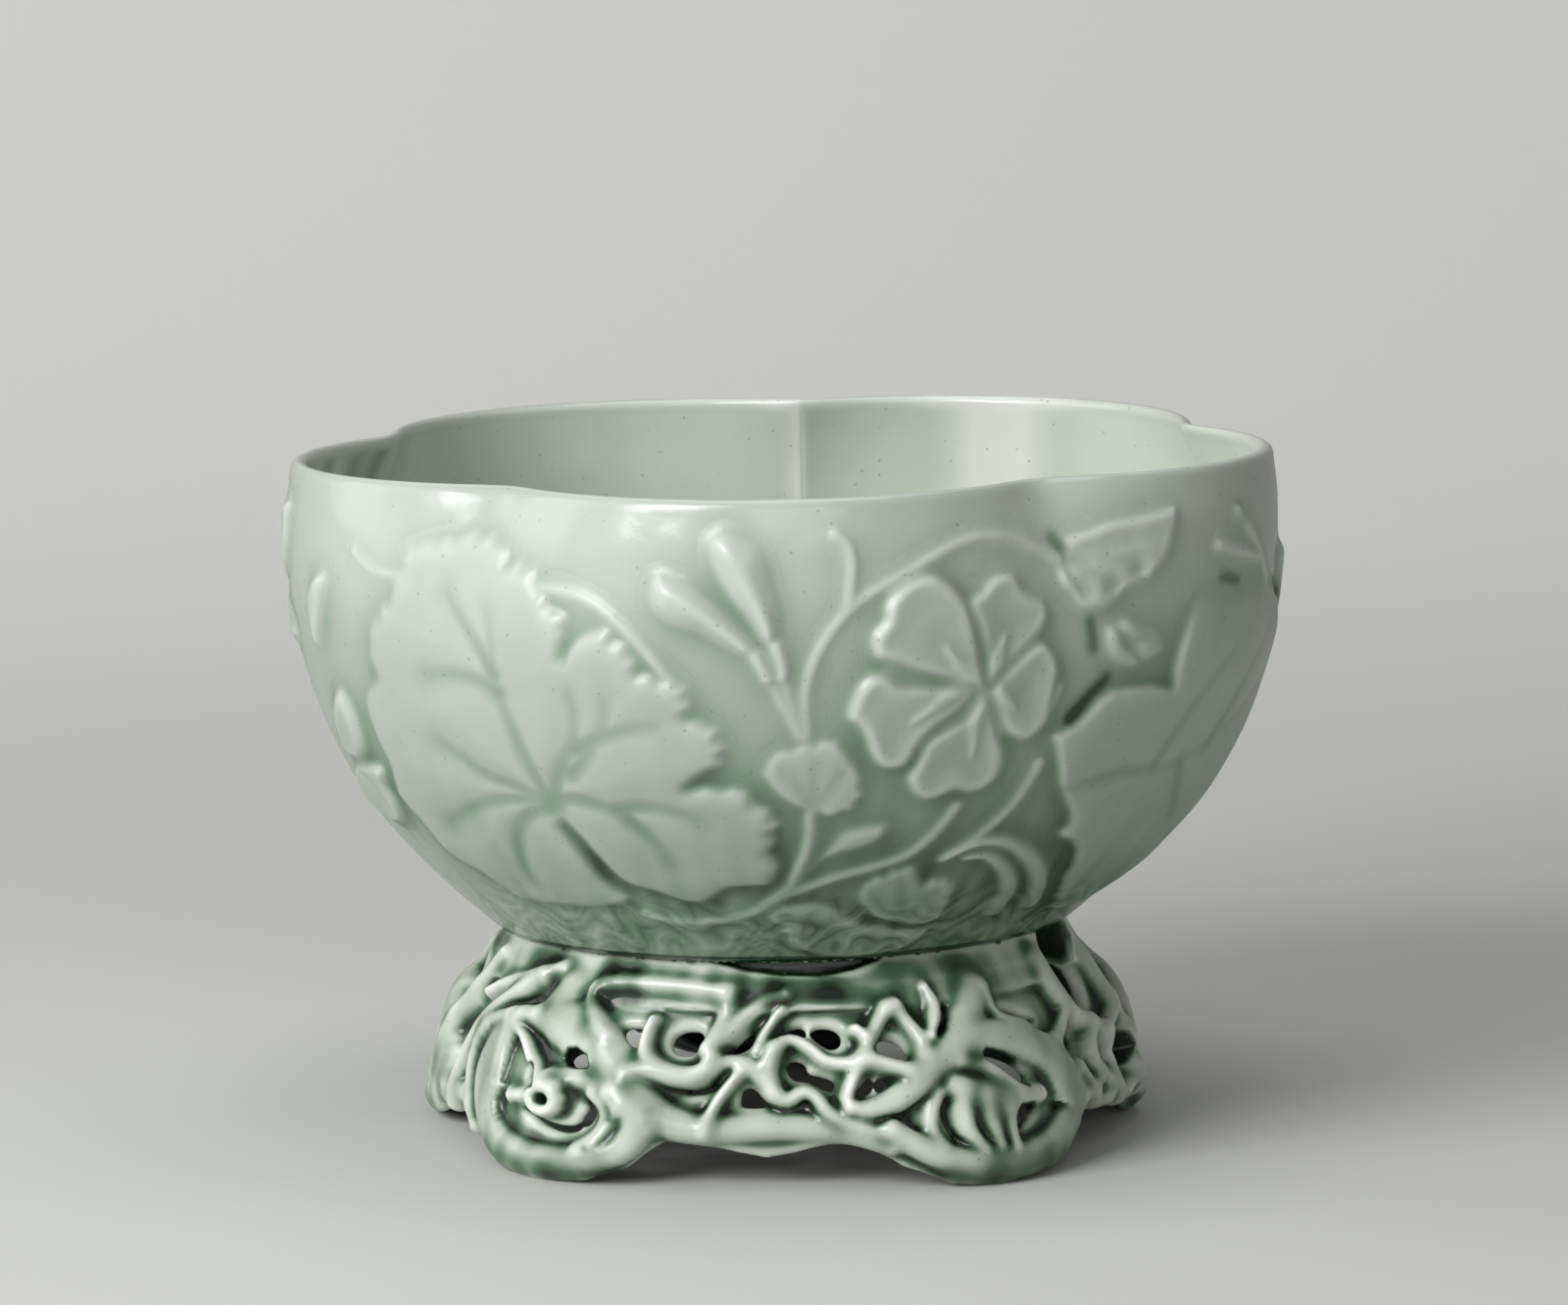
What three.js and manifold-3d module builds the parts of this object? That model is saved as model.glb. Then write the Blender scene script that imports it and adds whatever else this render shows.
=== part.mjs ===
// A footed fruit bowl in celadon-glazed porcelain: a five-lobed bowl with leaf and flower sprigs,
// luted and glazed onto an openwork stand of scroll feet and pierced branch panels.
// Millimetres, +Z up, the front faces -Y. Azimuths are in degrees, 0 along +X and 270 at the front.
import * as THREE from "three";
import { mergeVertices } from "three/addons/utils/BufferGeometryUtils.js";
import Module from "manifold-3d";

const wasm = await Module();
wasm.setup();

// Driving dimensions of the bowl
const lobes = 5;
const frontLobe = 267.9; // azimuth of the lobe that faces the front
const rimHeight = 178;
const baseHeight = 56; // underside of the bowl, where it meets the stand
const baseRadius = 72.5;
const bellyHeight = 165; // where the wall is widest
const bellyRadius = 128.5;
const bellyCurve = 2.4; // how quickly the wall swells above the base
const lipDraw = 0.8; // how far the wall draws in from the belly to the lip
const wall = 4;
const lipRadius = 1.75;
const floorThickness = 7;
const floorFillet = 16;
const filletReach = 12; // how far that fillet comes in from the wall
const lobeDepth = 0.435; // distance of a lobe's own centre from the axis, as a share of its reach
const creaseBottom = 84; // height at which the creases between the lobes have faded out
const creaseFade = 1.5;
const creaseRound = 2.5;
const leanAngle = 1.02; // the stand's top and the bowl lean a little to the left, as fired

// Driving dimensions of the stand
const standTopHeight = 53;
const standTopRadius = 72;
const standFootHeight = 12; // where the stand is widest
const standFootRadius = 90;
const standFootSwell = 5; // how far the feet stand out of, and the panels behind, that radius
const standCurve = 1.8;
const footAzimuths = {
  front_left: frontLobe - 36,
  front_right: frontLobe + 36,
  right: frontLobe + 108,
  back: frontLobe + 180,
  left: frontLobe + 252,
};
const mirroredFeet = ["front_left"]; // its scroll opens towards the right, the others' towards the left
const scrollOffset = 4.7; // how far a scroll's middle lies from its foot's azimuth
const collarBottomHeight = 43;
const collarThickness = 10;
const bandHalfWidth = 5.2; // the scroll band of a foot
const bandHalfDepth = 4.4;
const strandDepth = 0.9; // a strand's depth as a share of its width
const railHalfWidth = 4.6;

// Driving dimensions of the sprigs and fits
const gap = 0.3; // clearance between pieces that are luted together
const rooted = 1.2; // how deep a sprig or strand is drawn into its wall before it is trimmed to it
const leafHeight = 2.6;
const petalHeight = 3;
const budHeight = 3.6;
const stalkHalfWidth = 1.5;
const stalkLift = 0.4; // how far a stalk's middle stands off the wall
const wallSteps = 8; // facets of the wall across one lobe
const wallLevels = 8; // and from base to lip
const blossomRadius = 26;
const blossomPetals = 5;
const petalNotch = 0.2;
const roundLeafRadius = 12.5;

// Colours of the glaze
const paleGlaze = new THREE.MeshStandardMaterial({ color: "#b9cbbb", roughness: 0.12, metalness: 0 });
const sprigGlaze = new THREE.MeshStandardMaterial({ color: "#c6d5c7", roughness: 0.12, metalness: 0 });
const standGlaze = new THREE.MeshStandardMaterial({ color: "#a9c0ac", roughness: 0.12, metalness: 0 });

const { degToRad, clamp, smoothstep, euclideanModulo } = THREE.MathUtils;

// Radius of the bowl's outer face
function bowlRadius(azimuth, height) {
  const rise = clamp((height - baseHeight) / (bellyHeight - baseHeight), 0, 1);
  const full = baseRadius + (bellyRadius - baseRadius) * (1 - (1 - rise) ** bellyCurve)
    - lipDraw * smoothstep(height, bellyHeight, rimHeight);
  const depth = lobeDepth * clamp((height - creaseBottom) / (rimHeight - creaseBottom), 0, 1) ** creaseFade;
  const pitch = 360 / lobes;
  const reach = (angle) => full * (depth * Math.cos(degToRad(angle))
    + Math.sqrt((1 - depth) ** 2 - (depth * Math.sin(degToRad(angle))) ** 2));
  const off = Math.abs(euclideanModulo(azimuth - frontLobe + pitch / 2, pitch) - pitch / 2);
  const near = reach(off);
  const next = reach(pitch - off);
  return near + creaseRound * Math.log(1 + Math.exp((next - near) / creaseRound));
}

// Radius of the stand's outer face: a rounded pentagon that spreads downwards
function standRadius(azimuth, height) {
  const drop = clamp((standTopHeight - height) / (standTopHeight - standFootHeight), 0, 1);
  const spread = standFootRadius
    + standFootSwell * Math.cos(degToRad(lobes * (azimuth - footAzimuths.front_left)));
  return standTopRadius + (spread - standTopRadius) * (1 - (1 - drop) ** standCurve);
}

function onSurface(radiusOf, azimuth, height, lift = 0) {
  const at = (a, z) => new THREE.Vector3(
    radiusOf(a, z) * Math.cos(degToRad(a)), radiusOf(a, z) * Math.sin(degToRad(a)), z);
  const point = at(azimuth, height);
  const across = at(azimuth + 0.5, height).sub(at(azimuth - 0.5, height));
  const up = at(azimuth, height + 0.5).sub(at(azimuth, height - 0.5));
  const normal = across.cross(up).normalize();
  return { point: point.addScaledVector(normal, lift), normal };
}

// A closed solid through rings of points, with a fan at each end
function loft(rings) {
  const count = rings[0].length;
  const ends = [rings[0], rings.at(-1)].map((ring) =>
    ring.reduce((sum, p) => sum.add(p), new THREE.Vector3()).divideScalar(count));
  const corners = [...rings.flat(), ...ends];
  const faces = [];
  rings.slice(1).forEach((ring, r) => ring.forEach((corner, i) => {
    const [a, b] = [r * count + i, r * count + ((i + 1) % count)];
    faces.push(a, b, b + count, a, b + count, a + count);
  }));
  const last = (rings.length - 1) * count;
  for (let i = 0; i < count; i++) {
    const next = (i + 1) % count;
    faces.push(rings.length * count, next, i, rings.length * count + 1, last + i, last + next);
  }
  return solid(corners, faces);
}

// Corners and faces as a solid for joining and cutting, turned to face outwards
function solid(corners, faces) {
  const geometry = mergeVertices(new THREE.BufferGeometry().setFromPoints(faces.map((f) => corners[f])), 1e-4);
  const make = (order) => new wasm.Manifold(new wasm.Mesh({
    numProp: 3, vertProperties: geometry.attributes.position.array, triVerts: order }));
  const order = new Uint32Array(geometry.index.array);
  const made = make(order);
  return made.volume() > 0 ? made : make(order.reverse());
}

const join = (parts) => parts.reduce((sum, part) => sum.add(part));
const trim = (body, others) => others.reduce((rest, other) => rest.subtract(other), body);
const largest = (body) => body.decompose().sort((a, b) => b.volume() - a.volume())[0];

// A strand that follows a surface. Each stop of its route is [azimuth, height, half width].
function strand(radiusOf, route, options = {}) {
  const { sides = 5, depth = strandDepth, lift = 0, grow = 0 } = options;
  const steps = Math.ceil(1.4 * (route.length - 1));
  const curve = new THREE.CatmullRomCurve3(route.map((stop) => new THREE.Vector3(...stop)));
  const stops = curve.getSpacedPoints(steps);
  const places = stops.map((s) => onSurface(radiusOf, s.x, s.y, lift));
  return loft(stops.map((stop, k) => {
    const along = places[Math.min(k + 1, steps)].point.clone().sub(places[Math.max(k - 1, 0)].point);
    const side = along.cross(places[k].normal).normalize();
    return Array.from({ length: sides }, (_, i) => {
      const turn = (2 * Math.PI * (i + 0.5)) / sides;
      return places[k].point.clone()
        .addScaledVector(side, (stop.z + grow) * Math.cos(turn))
        .addScaledVector(places[k].normal, (stop.z * depth + grow) * Math.sin(turn));
    });
  }));
}

// A sprig that lies on the bowl's wall inside an outline of [azimuth, height] corners
function sprig(centre, outline, height, grow = 0) {
  const ring = (share, lift) => outline.map(([azimuth, level]) => {
    const reach = share + (grow * share) / roundLeafRadius;
    return onSurface(bowlRadius, centre[0] + (azimuth - centre[0]) * reach,
      centre[1] + (level - centre[1]) * reach, lift).point;
  });
  const inner = outline.length > 20 ? [0.05, 0.34, 0.64] : [0.1, 0.5];
  const under = [...inner, 1].map((share) => ring(share, -rooted));
  const over = inner.map((share) => ring(share, gap + height * 0.85 + grow)).reverse();
  return loft([...under, ring(1, gap + height * 0.4 + grow), ring(0.86, gap + height + grow), ...over]);
}

// Corners round a centre on the wall, at a distance given for each angle
function outlineRound([azimuth, height], count, distance) {
  const degree = degToRad(1) * bowlRadius(azimuth, height);
  return Array.from({ length: count }, (_, i) => {
    const turn = (2 * Math.PI * i) / count;
    return [azimuth + (distance(turn) * Math.cos(turn)) / degree, height + distance(turn) * Math.sin(turn)];
  });
}

// An oval from one end to the other, with its greatest width a share of the way along
function ovalBetween([a0, z0], [a1, z1], width, fullest = 0.5) {
  const degree = degToRad(1) * bowlRadius((a0 + a1) / 2, (z0 + z1) / 2);
  const [run, rise] = [(a1 - a0) * degree, z1 - z0];
  const length = Math.hypot(run, rise);
  const stations = [0, 0.15, 0.4, 0.65, 0.88, 1];
  const half = (s) => (width / 2) * Math.sin(Math.PI * s ** (Math.log(0.5) / Math.log(fullest))) ** 0.7;
  const corner = (s, sign) => [
    a0 + (a1 - a0) * s - (sign * half(s) * rise) / length / degree,
    z0 + rise * s + (sign * half(s) * run) / length,
  ];
  return [...stations.map((s) => corner(s, -1)), ...stations.slice(1, -1).reverse().map((s) => corner(s, 1))];
}

const turned = (angle) => ([azimuth, ...rest]) => [azimuth + angle, ...rest];

// The bowl's own body
function bowlRings(grow = 0) {
  const count = lobes * wallSteps;
  const lipHeight = rimHeight - lipRadius;
  const profile = [];
  for (let k = 0; k <= wallLevels; k++) {
    const height = baseHeight + (lipHeight - baseHeight) * (k / wallLevels);
    profile.push((azimuth) => [bowlRadius(azimuth, height) + grow, height - (k ? 0 : grow)]);
  }
  for (const turn of [45, 90, 135]) {
    profile.push((azimuth) => [
      bowlRadius(azimuth, rimHeight) - lipRadius + (lipRadius + grow) * Math.cos(degToRad(turn)),
      lipHeight + (lipRadius + grow) * Math.sin(degToRad(turn)),
    ]);
  }
  const floorHeight = baseHeight + floorThickness;
  const filletTop = floorHeight + floorFillet;
  const thickness = (height) => 2 * lipRadius + (wall - 2 * lipRadius) * smoothstep(lipHeight - height, 0, wall * 5);
  const innerLevels = wallLevels - 2;
  for (let k = 0; k < innerLevels; k++) {
    const height = lipHeight + (filletTop - lipHeight) * (k / innerLevels);
    profile.push((azimuth) => [bowlRadius(azimuth, height) - thickness(height), height]);
  }
  for (const turn of [0, 30, 60, 90]) {
    const height = filletTop - floorFillet * Math.sin(degToRad(turn));
    profile.push((azimuth) => [
      bowlRadius(azimuth, height) - wall - filletReach * (1 - Math.cos(degToRad(turn))), height,
    ]);
  }
  return profile.map((place) => Array.from({ length: count }, (_, i) => {
    const azimuth = frontLobe + (360 * i) / count;
    const [radius, height] = place(azimuth);
    return new THREE.Vector3(radius * Math.cos(degToRad(azimuth)), radius * Math.sin(degToRad(azimuth)), height);
  }));
}

// The collar that the bowl is luted onto
function collarRings(grow = 0) {
  const seat = baseHeight - gap;
  const profile = [
    [standTopRadius - collarThickness - grow, collarBottomHeight + 2 - grow],
    [standTopRadius - collarThickness - grow, seat + grow],
    [standTopRadius + 1.5 + grow, seat + grow],
    [standTopRadius + 0.4 + grow, seat - 3.5],
    [standTopRadius + 3.2 + grow, seat - 8],
    [standTopRadius + 4 + grow, collarBottomHeight + 1.2 - grow],
    [standTopRadius - 1, collarBottomHeight - grow],
  ];
  const ring = profile.map(([r, z]) => new THREE.Vector2(r, z));
  const lathe = new THREE.LatheGeometry([...ring, ring[0]], lobes * wallSteps);
  const turnedUp = lathe.rotateX(Math.PI / 2).index;
  const positions = lathe.attributes.position;
  const corners = Array.from({ length: positions.count }, (_, i) => new THREE.Vector3().fromBufferAttribute(positions, i));
  return solid(corners, Array.from(turnedUp.array));
}

const bowlBody = loft(bowlRings());
const bowlGrown = loft(bowlRings(gap));
const collarBody = collarRings();
const collarGrown = collarRings(gap);

const group = new THREE.Group();

// The finished solid as a named mesh. The lean grows from nothing at the feet to its full angle at the seat.
function addPiece(name, body, material) {
  const { vertProperties, triVerts } = body.getMesh();
  const places = new Float32Array(vertProperties);
  for (let i = 0; i < places.length; i += 3) {
    places[i + 2] += places[i] * Math.tan(degToRad(leanAngle)) * smoothstep(places[i + 2], 0, baseHeight);
  }
  const geometry = new THREE.BufferGeometry().setAttribute("position", new THREE.BufferAttribute(places, 3));
  geometry.setIndex(new THREE.BufferAttribute(new Uint32Array(triVerts), 1)).computeVertexNormals();
  const mesh = new THREE.Mesh(geometry, material);
  mesh.name = name;
  group.add(mesh);
}

addPiece("bowl_shell", bowlBody, paleGlaze);
addPiece("seat_collar", collarBody, standGlaze);

// A scroll foot: stops are [degrees from the foot's centre, height, half width], for a scroll that opens left
const scrollOver = [
  [-21, 16.8, 3.4], [-17, 22.2, 4.2], [-11, 30, 4.8], [-2, 35.7, 5], [10, 35.4, 5], [20.6, 28.7, bandHalfWidth],
  [25, 19.2, bandHalfWidth], [22, 11.2, bandHalfWidth],
];
const scrollUnder = [
  [24.4, 15, bandHalfWidth], [19.5, 8.4, bandHalfWidth], [12.4, 4.2, bandHalfWidth], [2.7, 3.4, bandHalfWidth],
  [-6, 4.4, bandHalfWidth], [-12.8, 10, 4.6], [-16.4, 17, 4],
];
const scrollHeart = [[-8, 26, 2.6], [-2, 24.5, 4.2], [4, 22, 4.6], [10.5, 20.4, 3.4], [18, 20, 2.4]];
const scrollFingers = [
  [[-6, 25, 2.4], [-9.4, 18, 2.4], [-8, 9, 2.2]],
  [[0, 24, 2.4], [-2.4, 17, 2.3], [-0.4, 8, 2.2]],
  [[6, 21, 2.4], [4.4, 15, 2.3], [6.6, 7, 2.2]],
];
const crownBranches = [
  [[-11, 30, 3.8], [-6, 39, 3.6], [-9, 46, 4.2]],
  [[2, 35, 3.6], [-1.6, 41, 3.4], [2, 47, 4.2]],
  [[16, 31, 3.8], [13.5, 39, 3.4], [17, 46, 4.2]],
  [[24, 22, 3.6], [30, 31, 3.4], [28, 46, 4.2]],
];

function footParts(azimuth, mirrored, grow = 0) {
  const sign = mirrored ? -1 : 1;
  const place = (route) => route.map(([off, height, half]) => [azimuth + sign * off, height, half]);
  const band = { sides: 6, depth: bandHalfDepth / bandHalfWidth, lift: -bandHalfDepth, grow };
  const inner = { sides: 4, lift: -bandHalfDepth, grow };
  const branch = { sides: 4, lift: -strandDepth * 3.4, grow };
  return join([
    strand(standRadius, place(scrollOver), band),
    strand(standRadius, place(scrollUnder), band),
    strand(standRadius, place(scrollHeart), inner),
    ...scrollFingers.map((route) => strand(standRadius, place(route), inner)),
    ...crownBranches.map((route) => strand(standRadius, place(route), branch)),
  ]);
}

// The stand rests on its feet, so everything is cut level at the bottom
const ground = new THREE.BoxGeometry(400, 400, 40).translate(0, 0, -20).deleteAttribute("normal").deleteAttribute("uv");
const groundCorners = Array.from({ length: ground.attributes.position.count }, (_, i) =>
  new THREE.Vector3().fromBufferAttribute(ground.attributes.position, i));
const groundSolid = solid(groundCorners, Array.from(ground.index.array));

const feetGrown = [];
for (const [where, azimuth] of Object.entries(footAzimuths)) {
  const mirrored = mirroredFeet.includes(where);
  addPiece("scroll_foot_" + where, largest(trim(footParts(azimuth, mirrored), [collarGrown, groundSolid, ...feetGrown])), standGlaze);
  feetGrown.push(footParts(azimuth, mirrored, gap));
}

// Pierced panels between the feet: stops are [azimuth, height, half width]
const frontVines = [
  [[240, 30, 3], [246, 32.7, 3], [252.7, 30, 3], [262, 31, 3.2], [267, 26.5, 3], [270.6, 23, 3],
    [274.4, 25.5, 3], [277.7, 20.6, 3.2], [286, 16, 3.2]],
  [[262, 31, 3], [267, 33, 3], [270.2, 36.3, 2.8], [274.6, 37.6, 2.8], [276.4, 32.3, 2.8], [288, 32.1, 2.8]],
  [[265.2, 33.5, 2.8], [268.4, 39, 2.8], [269.9, 46, 3.4]],
  [[277.8, 21, 2.8], [283, 30, 2.8], [288.1, 44, 3.2]],
  [[254, 30.5, 2.8], [260.4, 42.1, 2.8], [263, 47, 3.4]],
  [[251, 16, 2.8], [257.3, 21, 2.8], [262.2, 30, 2.8]],
  [[244, 32, 3], [247.5, 39, 2.8], [246.5, 46, 3.4]],
];
const frontRail = [[246, 14.6, 4], [250, 16.6, railHalfWidth], [258, 16.2, 5.4], [267.6, 14.6, 7.2],
  [277, 16.2, 5.4], [284.6, 16.6, railHalfWidth], [290, 14.6, 4]];
const sideVines = [
  [[-13, 25, 3.2], [-6, 22, 3], [1, 30, 3], [8, 27, 3], [14, 33, 3.2]],
  [[-5, 13, 3.4], [-7, 23, 3], [-3, 34, 3], [-6, 46, 3.8]],
  [[6, 13, 3.4], [7, 26, 3], [4, 37, 3], [7, 46, 3.8]],
];
const sideRail = [[-14, 10, 4], [-6, 8, railHalfWidth], [6, 8, railHalfWidth], [14, 10, 4]];
const between = (one, other) => (footAzimuths[one] + footAzimuths[other]) / 2 + scrollOffset;
const panels = {
  front: { vines: frontVines, rail: frontRail, turn: 0 },
  right: { vines: sideVines, rail: sideRail, turn: between("front_right", "right") },
  back_right: { vines: sideVines, rail: sideRail, turn: between("right", "back") },
  back_left: { vines: sideVines, rail: sideRail, turn: between("back", "left") },
};
for (const [where, { vines, rail, turn }] of Object.entries(panels)) {
  const railBody = strand(standRadius, rail.map(turned(turn)), { sides: 7, depth: 0.8, lift: -railHalfWidth });
  const branches = vines.map((route) => strand(standRadius, route.map(turned(turn)), { lift: -strandDepth * 3 }));
  const body = join([railBody, ...branches]);
  addPiece("pierced_panel_" + where, largest(trim(body, [collarGrown, groundSolid, ...feetGrown])), standGlaze);
}

// Sprigs on the bowl's wall, given for the front. Copies are turned round the bowl.
const broadLeaf = {
  centre: [238.5, 116],
  outline: [[227.8, 167.3], [216.9, 161.4], [214.3, 141.4], [210.9, 120.6], [208.7, 91.5], [215, 74.1], [227.9, 68.2],
    [244.9, 72.1], [258.3, 75.9], [264.4, 78.8], [270.1, 85.7], [273.3, 91.1], [269.4, 102], [263.2, 115.1],
    [263.5, 127.8], [259.7, 132.6], [260.4, 142.4], [252.4, 146.8], [244.7, 145.9], [241.7, 157.4], [234.1, 163.2]],
};
const trailingLeaf = {
  centre: [328, 108],
  outline: [[336, 151], [328.1, 147.1], [318.4, 139.5], [311.9, 126.1], [305.8, 119.9], [306.6, 102], [311, 91],
    [315.6, 81.5], [322, 66], [334, 68], [344, 78], [350, 96], [350.5, 112], [348, 124], [349, 138], [342, 143]],
};
const blossomCentre = [292.4, 127];
const bellCentre = [313.4, 157];
const bellOutline = [[305.6, 158.5], [309, 167], [315, 162.5], [321.6, 168.1], [321.8, 158], [319.8, 146], [315, 143.4],
  [311.4, 144.5], [309.6, 151]];
const buds = [[[256.2, 158.6], [269, 135.1]], [[263.2, 168.8], [269.5, 142.4]]];
const budWidth = 10.5;
const budStalks = [
  [[266.6, 139.5, 2.6], [270.2, 133, 1.8], [272.6, 124.6, 1.5]],
  [[269, 144.4, 2.6], [270, 138, 2], [270.4, 132.6, 1.6]],
];
const roundLeafCentre = [273.5, 109.6];
const smallLeaf = [[276, 84.5], [285.4, 96]];
const smallLeafWidth = 9;
const footLeaves = [[289.4, 77.4], [279.4, 68.4]];
const footLeafRadius = 12;
const curl = [[296.4, 87, 1.6], [301, 86.4, 2.6], [306.6, 82, 3], [308.6, 75, 2.6], [307, 69.6, 1.6]];
const stalks = [
  [[272.6, 123.2, 1.6], [273.2, 134.9, stalkHalfWidth], [274.9, 144.5, stalkHalfWidth], [278.6, 153.3, stalkHalfWidth],
    [283.4, 157.5, stalkHalfWidth], [288, 154.8, 1.2]],
  [[274.4, 143, stalkHalfWidth], [276, 158, stalkHalfWidth], [281, 164.5, stalkHalfWidth], [293.5, 165.6, stalkHalfWidth],
    [300, 163.1, stalkHalfWidth], [305, 159.6, 1.2]],
];
const lowStalk = [[274.3, 77, stalkHalfWidth], [283.9, 82.6, stalkHalfWidth], [291.6, 90, stalkHalfWidth],
  [297.8, 97, stalkHalfWidth], [303.7, 107, 1.2]];
const pod = [[200.6, 122], [198.4, 104]];
const slimLeaf = [[204.4, 151], [202, 135]];
const leftLeaf = [[204.4, 99], [200.4, 80]];

const blossomReach = (turn) =>
  blossomRadius * (1 - petalNotch * (1 - Math.abs(Math.sin((blossomPetals * turn) / 2))));
const roundReach = (turn) => roundLeafRadius * (1 + 0.1 * Math.cos(5 * turn));
const footLeafReach = (turn) => footLeafRadius * (1 + 0.12 * Math.cos(5 * turn)) * (1 - 0.25 * Math.abs(Math.sin(turn)));

// Every sprig by its name, as a function of how much it is grown for clearance
const sprigs = {};
function addSprig(name, centre, outline, height) {
  sprigs[name] = (grow = 0) => sprig(centre, outline, height, grow);
}
for (const [where, angle] of [["front", 0], ["back", 144]]) {
  const turn = turned(angle);
  addSprig("broad_leaf_" + where, turn(broadLeaf.centre), broadLeaf.outline.map(turn), leafHeight);
  addSprig("trailing_leaf_" + where, turn(trailingLeaf.centre), trailingLeaf.outline.map(turn), leafHeight);
  sprigs["bud_pair_" + where] = (grow = 0) => join([
    ...buds.map((ends) => {
      const outline = ovalBetween(...ends.map(turn), budWidth, 0.42);
      const middle = ends.map(turn);
      return sprig([(middle[0][0] + middle[1][0]) / 2, (middle[0][1] + middle[1][1]) / 2], outline, budHeight, grow);
    }),
    ...budStalks.map((route) => strand(bowlRadius, route.map(turn), { lift: stalkLift, grow })),
  ]);
  addSprig("small_leaf_" + where, turn([280.6, 90.2]), ovalBetween(...smallLeaf.map(turn), smallLeafWidth, 0.6), leafHeight);
  sprigs["curled_tendril_" + where] = (grow = 0) => strand(bowlRadius, curl.map(turn), { depth: 1.1, lift: stalkLift, grow });
}
for (const [where, angle] of [["front", 0], ["back", 144], ["left", -127]]) {
  const turn = turned(angle);
  addSprig("blossom_" + where, turn(blossomCentre), outlineRound(turn(blossomCentre), 20, blossomReach), petalHeight);
  addSprig("bell_flower_" + where, turn(bellCentre), bellOutline.map(turn), petalHeight);
  addSprig("round_leaf_" + where, turn(roundLeafCentre), outlineRound(turn(roundLeafCentre), 10, roundReach), leafHeight);
  footLeaves.forEach((centre, i) => addSprig("foot_leaf_" + where + "_" + (i + 1), turn(centre),
    outlineRound(turn(centre), 10, footLeafReach), leafHeight));
}
addSprig("seed_pod_left", [199.5, 113], ovalBetween(...pod, 9, 0.55), budHeight);
addSprig("slim_leaf_left", [203.2, 143], ovalBetween(...slimLeaf, 7, 0.5), leafHeight);
addSprig("low_leaf_left", [202.4, 89.5], ovalBetween(...leftLeaf, 10, 0.45), leafHeight);

const placed = [];
for (const [name, shape] of Object.entries(sprigs)) {
  addPiece(name, largest(trim(shape(), [bowlGrown, collarGrown, ...placed])), sprigGlaze);
  placed.push(shape(gap));
}
for (const [where, angle] of [["front", 0], ["back", 144], ["left", -127]]) {
  const turn = turned(angle);
  const arching = join(stalks.map((route) => strand(bowlRadius, route.map(turn), { sides: 4, lift: stalkLift })));
  addPiece("arching_stalk_" + where, largest(trim(arching, [bowlGrown, ...placed])), sprigGlaze);
  const low = strand(bowlRadius, lowStalk.map(turn), { sides: 4, lift: stalkLift });
  addPiece("low_stalk_" + where, largest(trim(low, [bowlGrown, ...placed])), sprigGlaze);
}

// The part stands centred on the middle of its own outline
const outer = new THREE.Group().add(group);
const box = new THREE.Box3().setFromObject(group);
const middle = box.getCenter(new THREE.Vector3());
group.position.set(-middle.x, -middle.y, -box.min.z);

export default outer;
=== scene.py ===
import bpy
import math
import numpy as np
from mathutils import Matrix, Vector
from types import SimpleNamespace


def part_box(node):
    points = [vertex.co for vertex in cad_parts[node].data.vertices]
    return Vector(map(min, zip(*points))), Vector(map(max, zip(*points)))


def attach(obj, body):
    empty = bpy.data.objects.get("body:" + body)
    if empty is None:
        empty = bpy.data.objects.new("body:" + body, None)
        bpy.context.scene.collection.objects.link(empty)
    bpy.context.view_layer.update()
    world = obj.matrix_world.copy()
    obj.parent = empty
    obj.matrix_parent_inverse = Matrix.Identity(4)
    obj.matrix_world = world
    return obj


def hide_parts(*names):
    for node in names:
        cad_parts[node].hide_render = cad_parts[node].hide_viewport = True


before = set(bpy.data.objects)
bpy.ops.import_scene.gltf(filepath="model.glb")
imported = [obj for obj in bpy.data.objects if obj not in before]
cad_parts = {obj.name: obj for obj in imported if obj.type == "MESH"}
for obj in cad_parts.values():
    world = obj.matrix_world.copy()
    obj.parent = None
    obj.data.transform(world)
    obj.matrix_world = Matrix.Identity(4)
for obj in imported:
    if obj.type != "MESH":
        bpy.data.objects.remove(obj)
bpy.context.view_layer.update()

# Shapes are worked out in millimetres about the bowl's own upright axis. toFrame() leans them
# as the fired pot leans and brings them to metres. Azimuths are in degrees, 270 at the front.
seatLow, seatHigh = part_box("seat_collar")
axis = np.array([seatLow[0] + seatHigh[0], seatLow[1] + seatHigh[1], 0.0]) * 500

bowl = {
    "lobes": 5, "frontLobe": 267.9, "rim": 178.0, "base": 56.0, "baseRadius": 72.5, "belly": 165.0,
    "bellyRadius": 128.5, "bellyCurve": 2.4, "lipDraw": 0.8, "wall": 4.0, "lipRadius": 2.05,
    "lipFade": 20.0, "floor": 7.0, "fillet": 16.0, "filletReach": 12.0, "lobeDepth": 0.435,
    "creaseBottom": 84.0, "creaseFade": 1.5, "creaseRound": 2.5, "lean": 1.02, "columns": 480,
    "crowding": 0.3, "outerStep": 1.35, "innerStep": 2.2, "lipTurn": 15, "filletTurn": 7.5,
    "baseRings": (0, 24, 48, 64), "floorRings": (38, 26, 14, 0),
}
leanSlope = math.tan(math.radians(bowl["lean"]))


def smooth(t):
    t = np.clip(t, 0, 1)
    return t * t * (3 - 2 * t)


def hill(value, middle, width):
    return np.exp(-((value - middle) / width) ** 2)


def unit(vectors, least=0.0):
    return vectors / (np.linalg.norm(vectors, axis=-1, keepdims=True) + least)


def leaning(points, height):
    # how far the lean lifts places of that upright height
    return points[..., 0] * leanSlope * smooth(height / bowl["base"])


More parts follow.
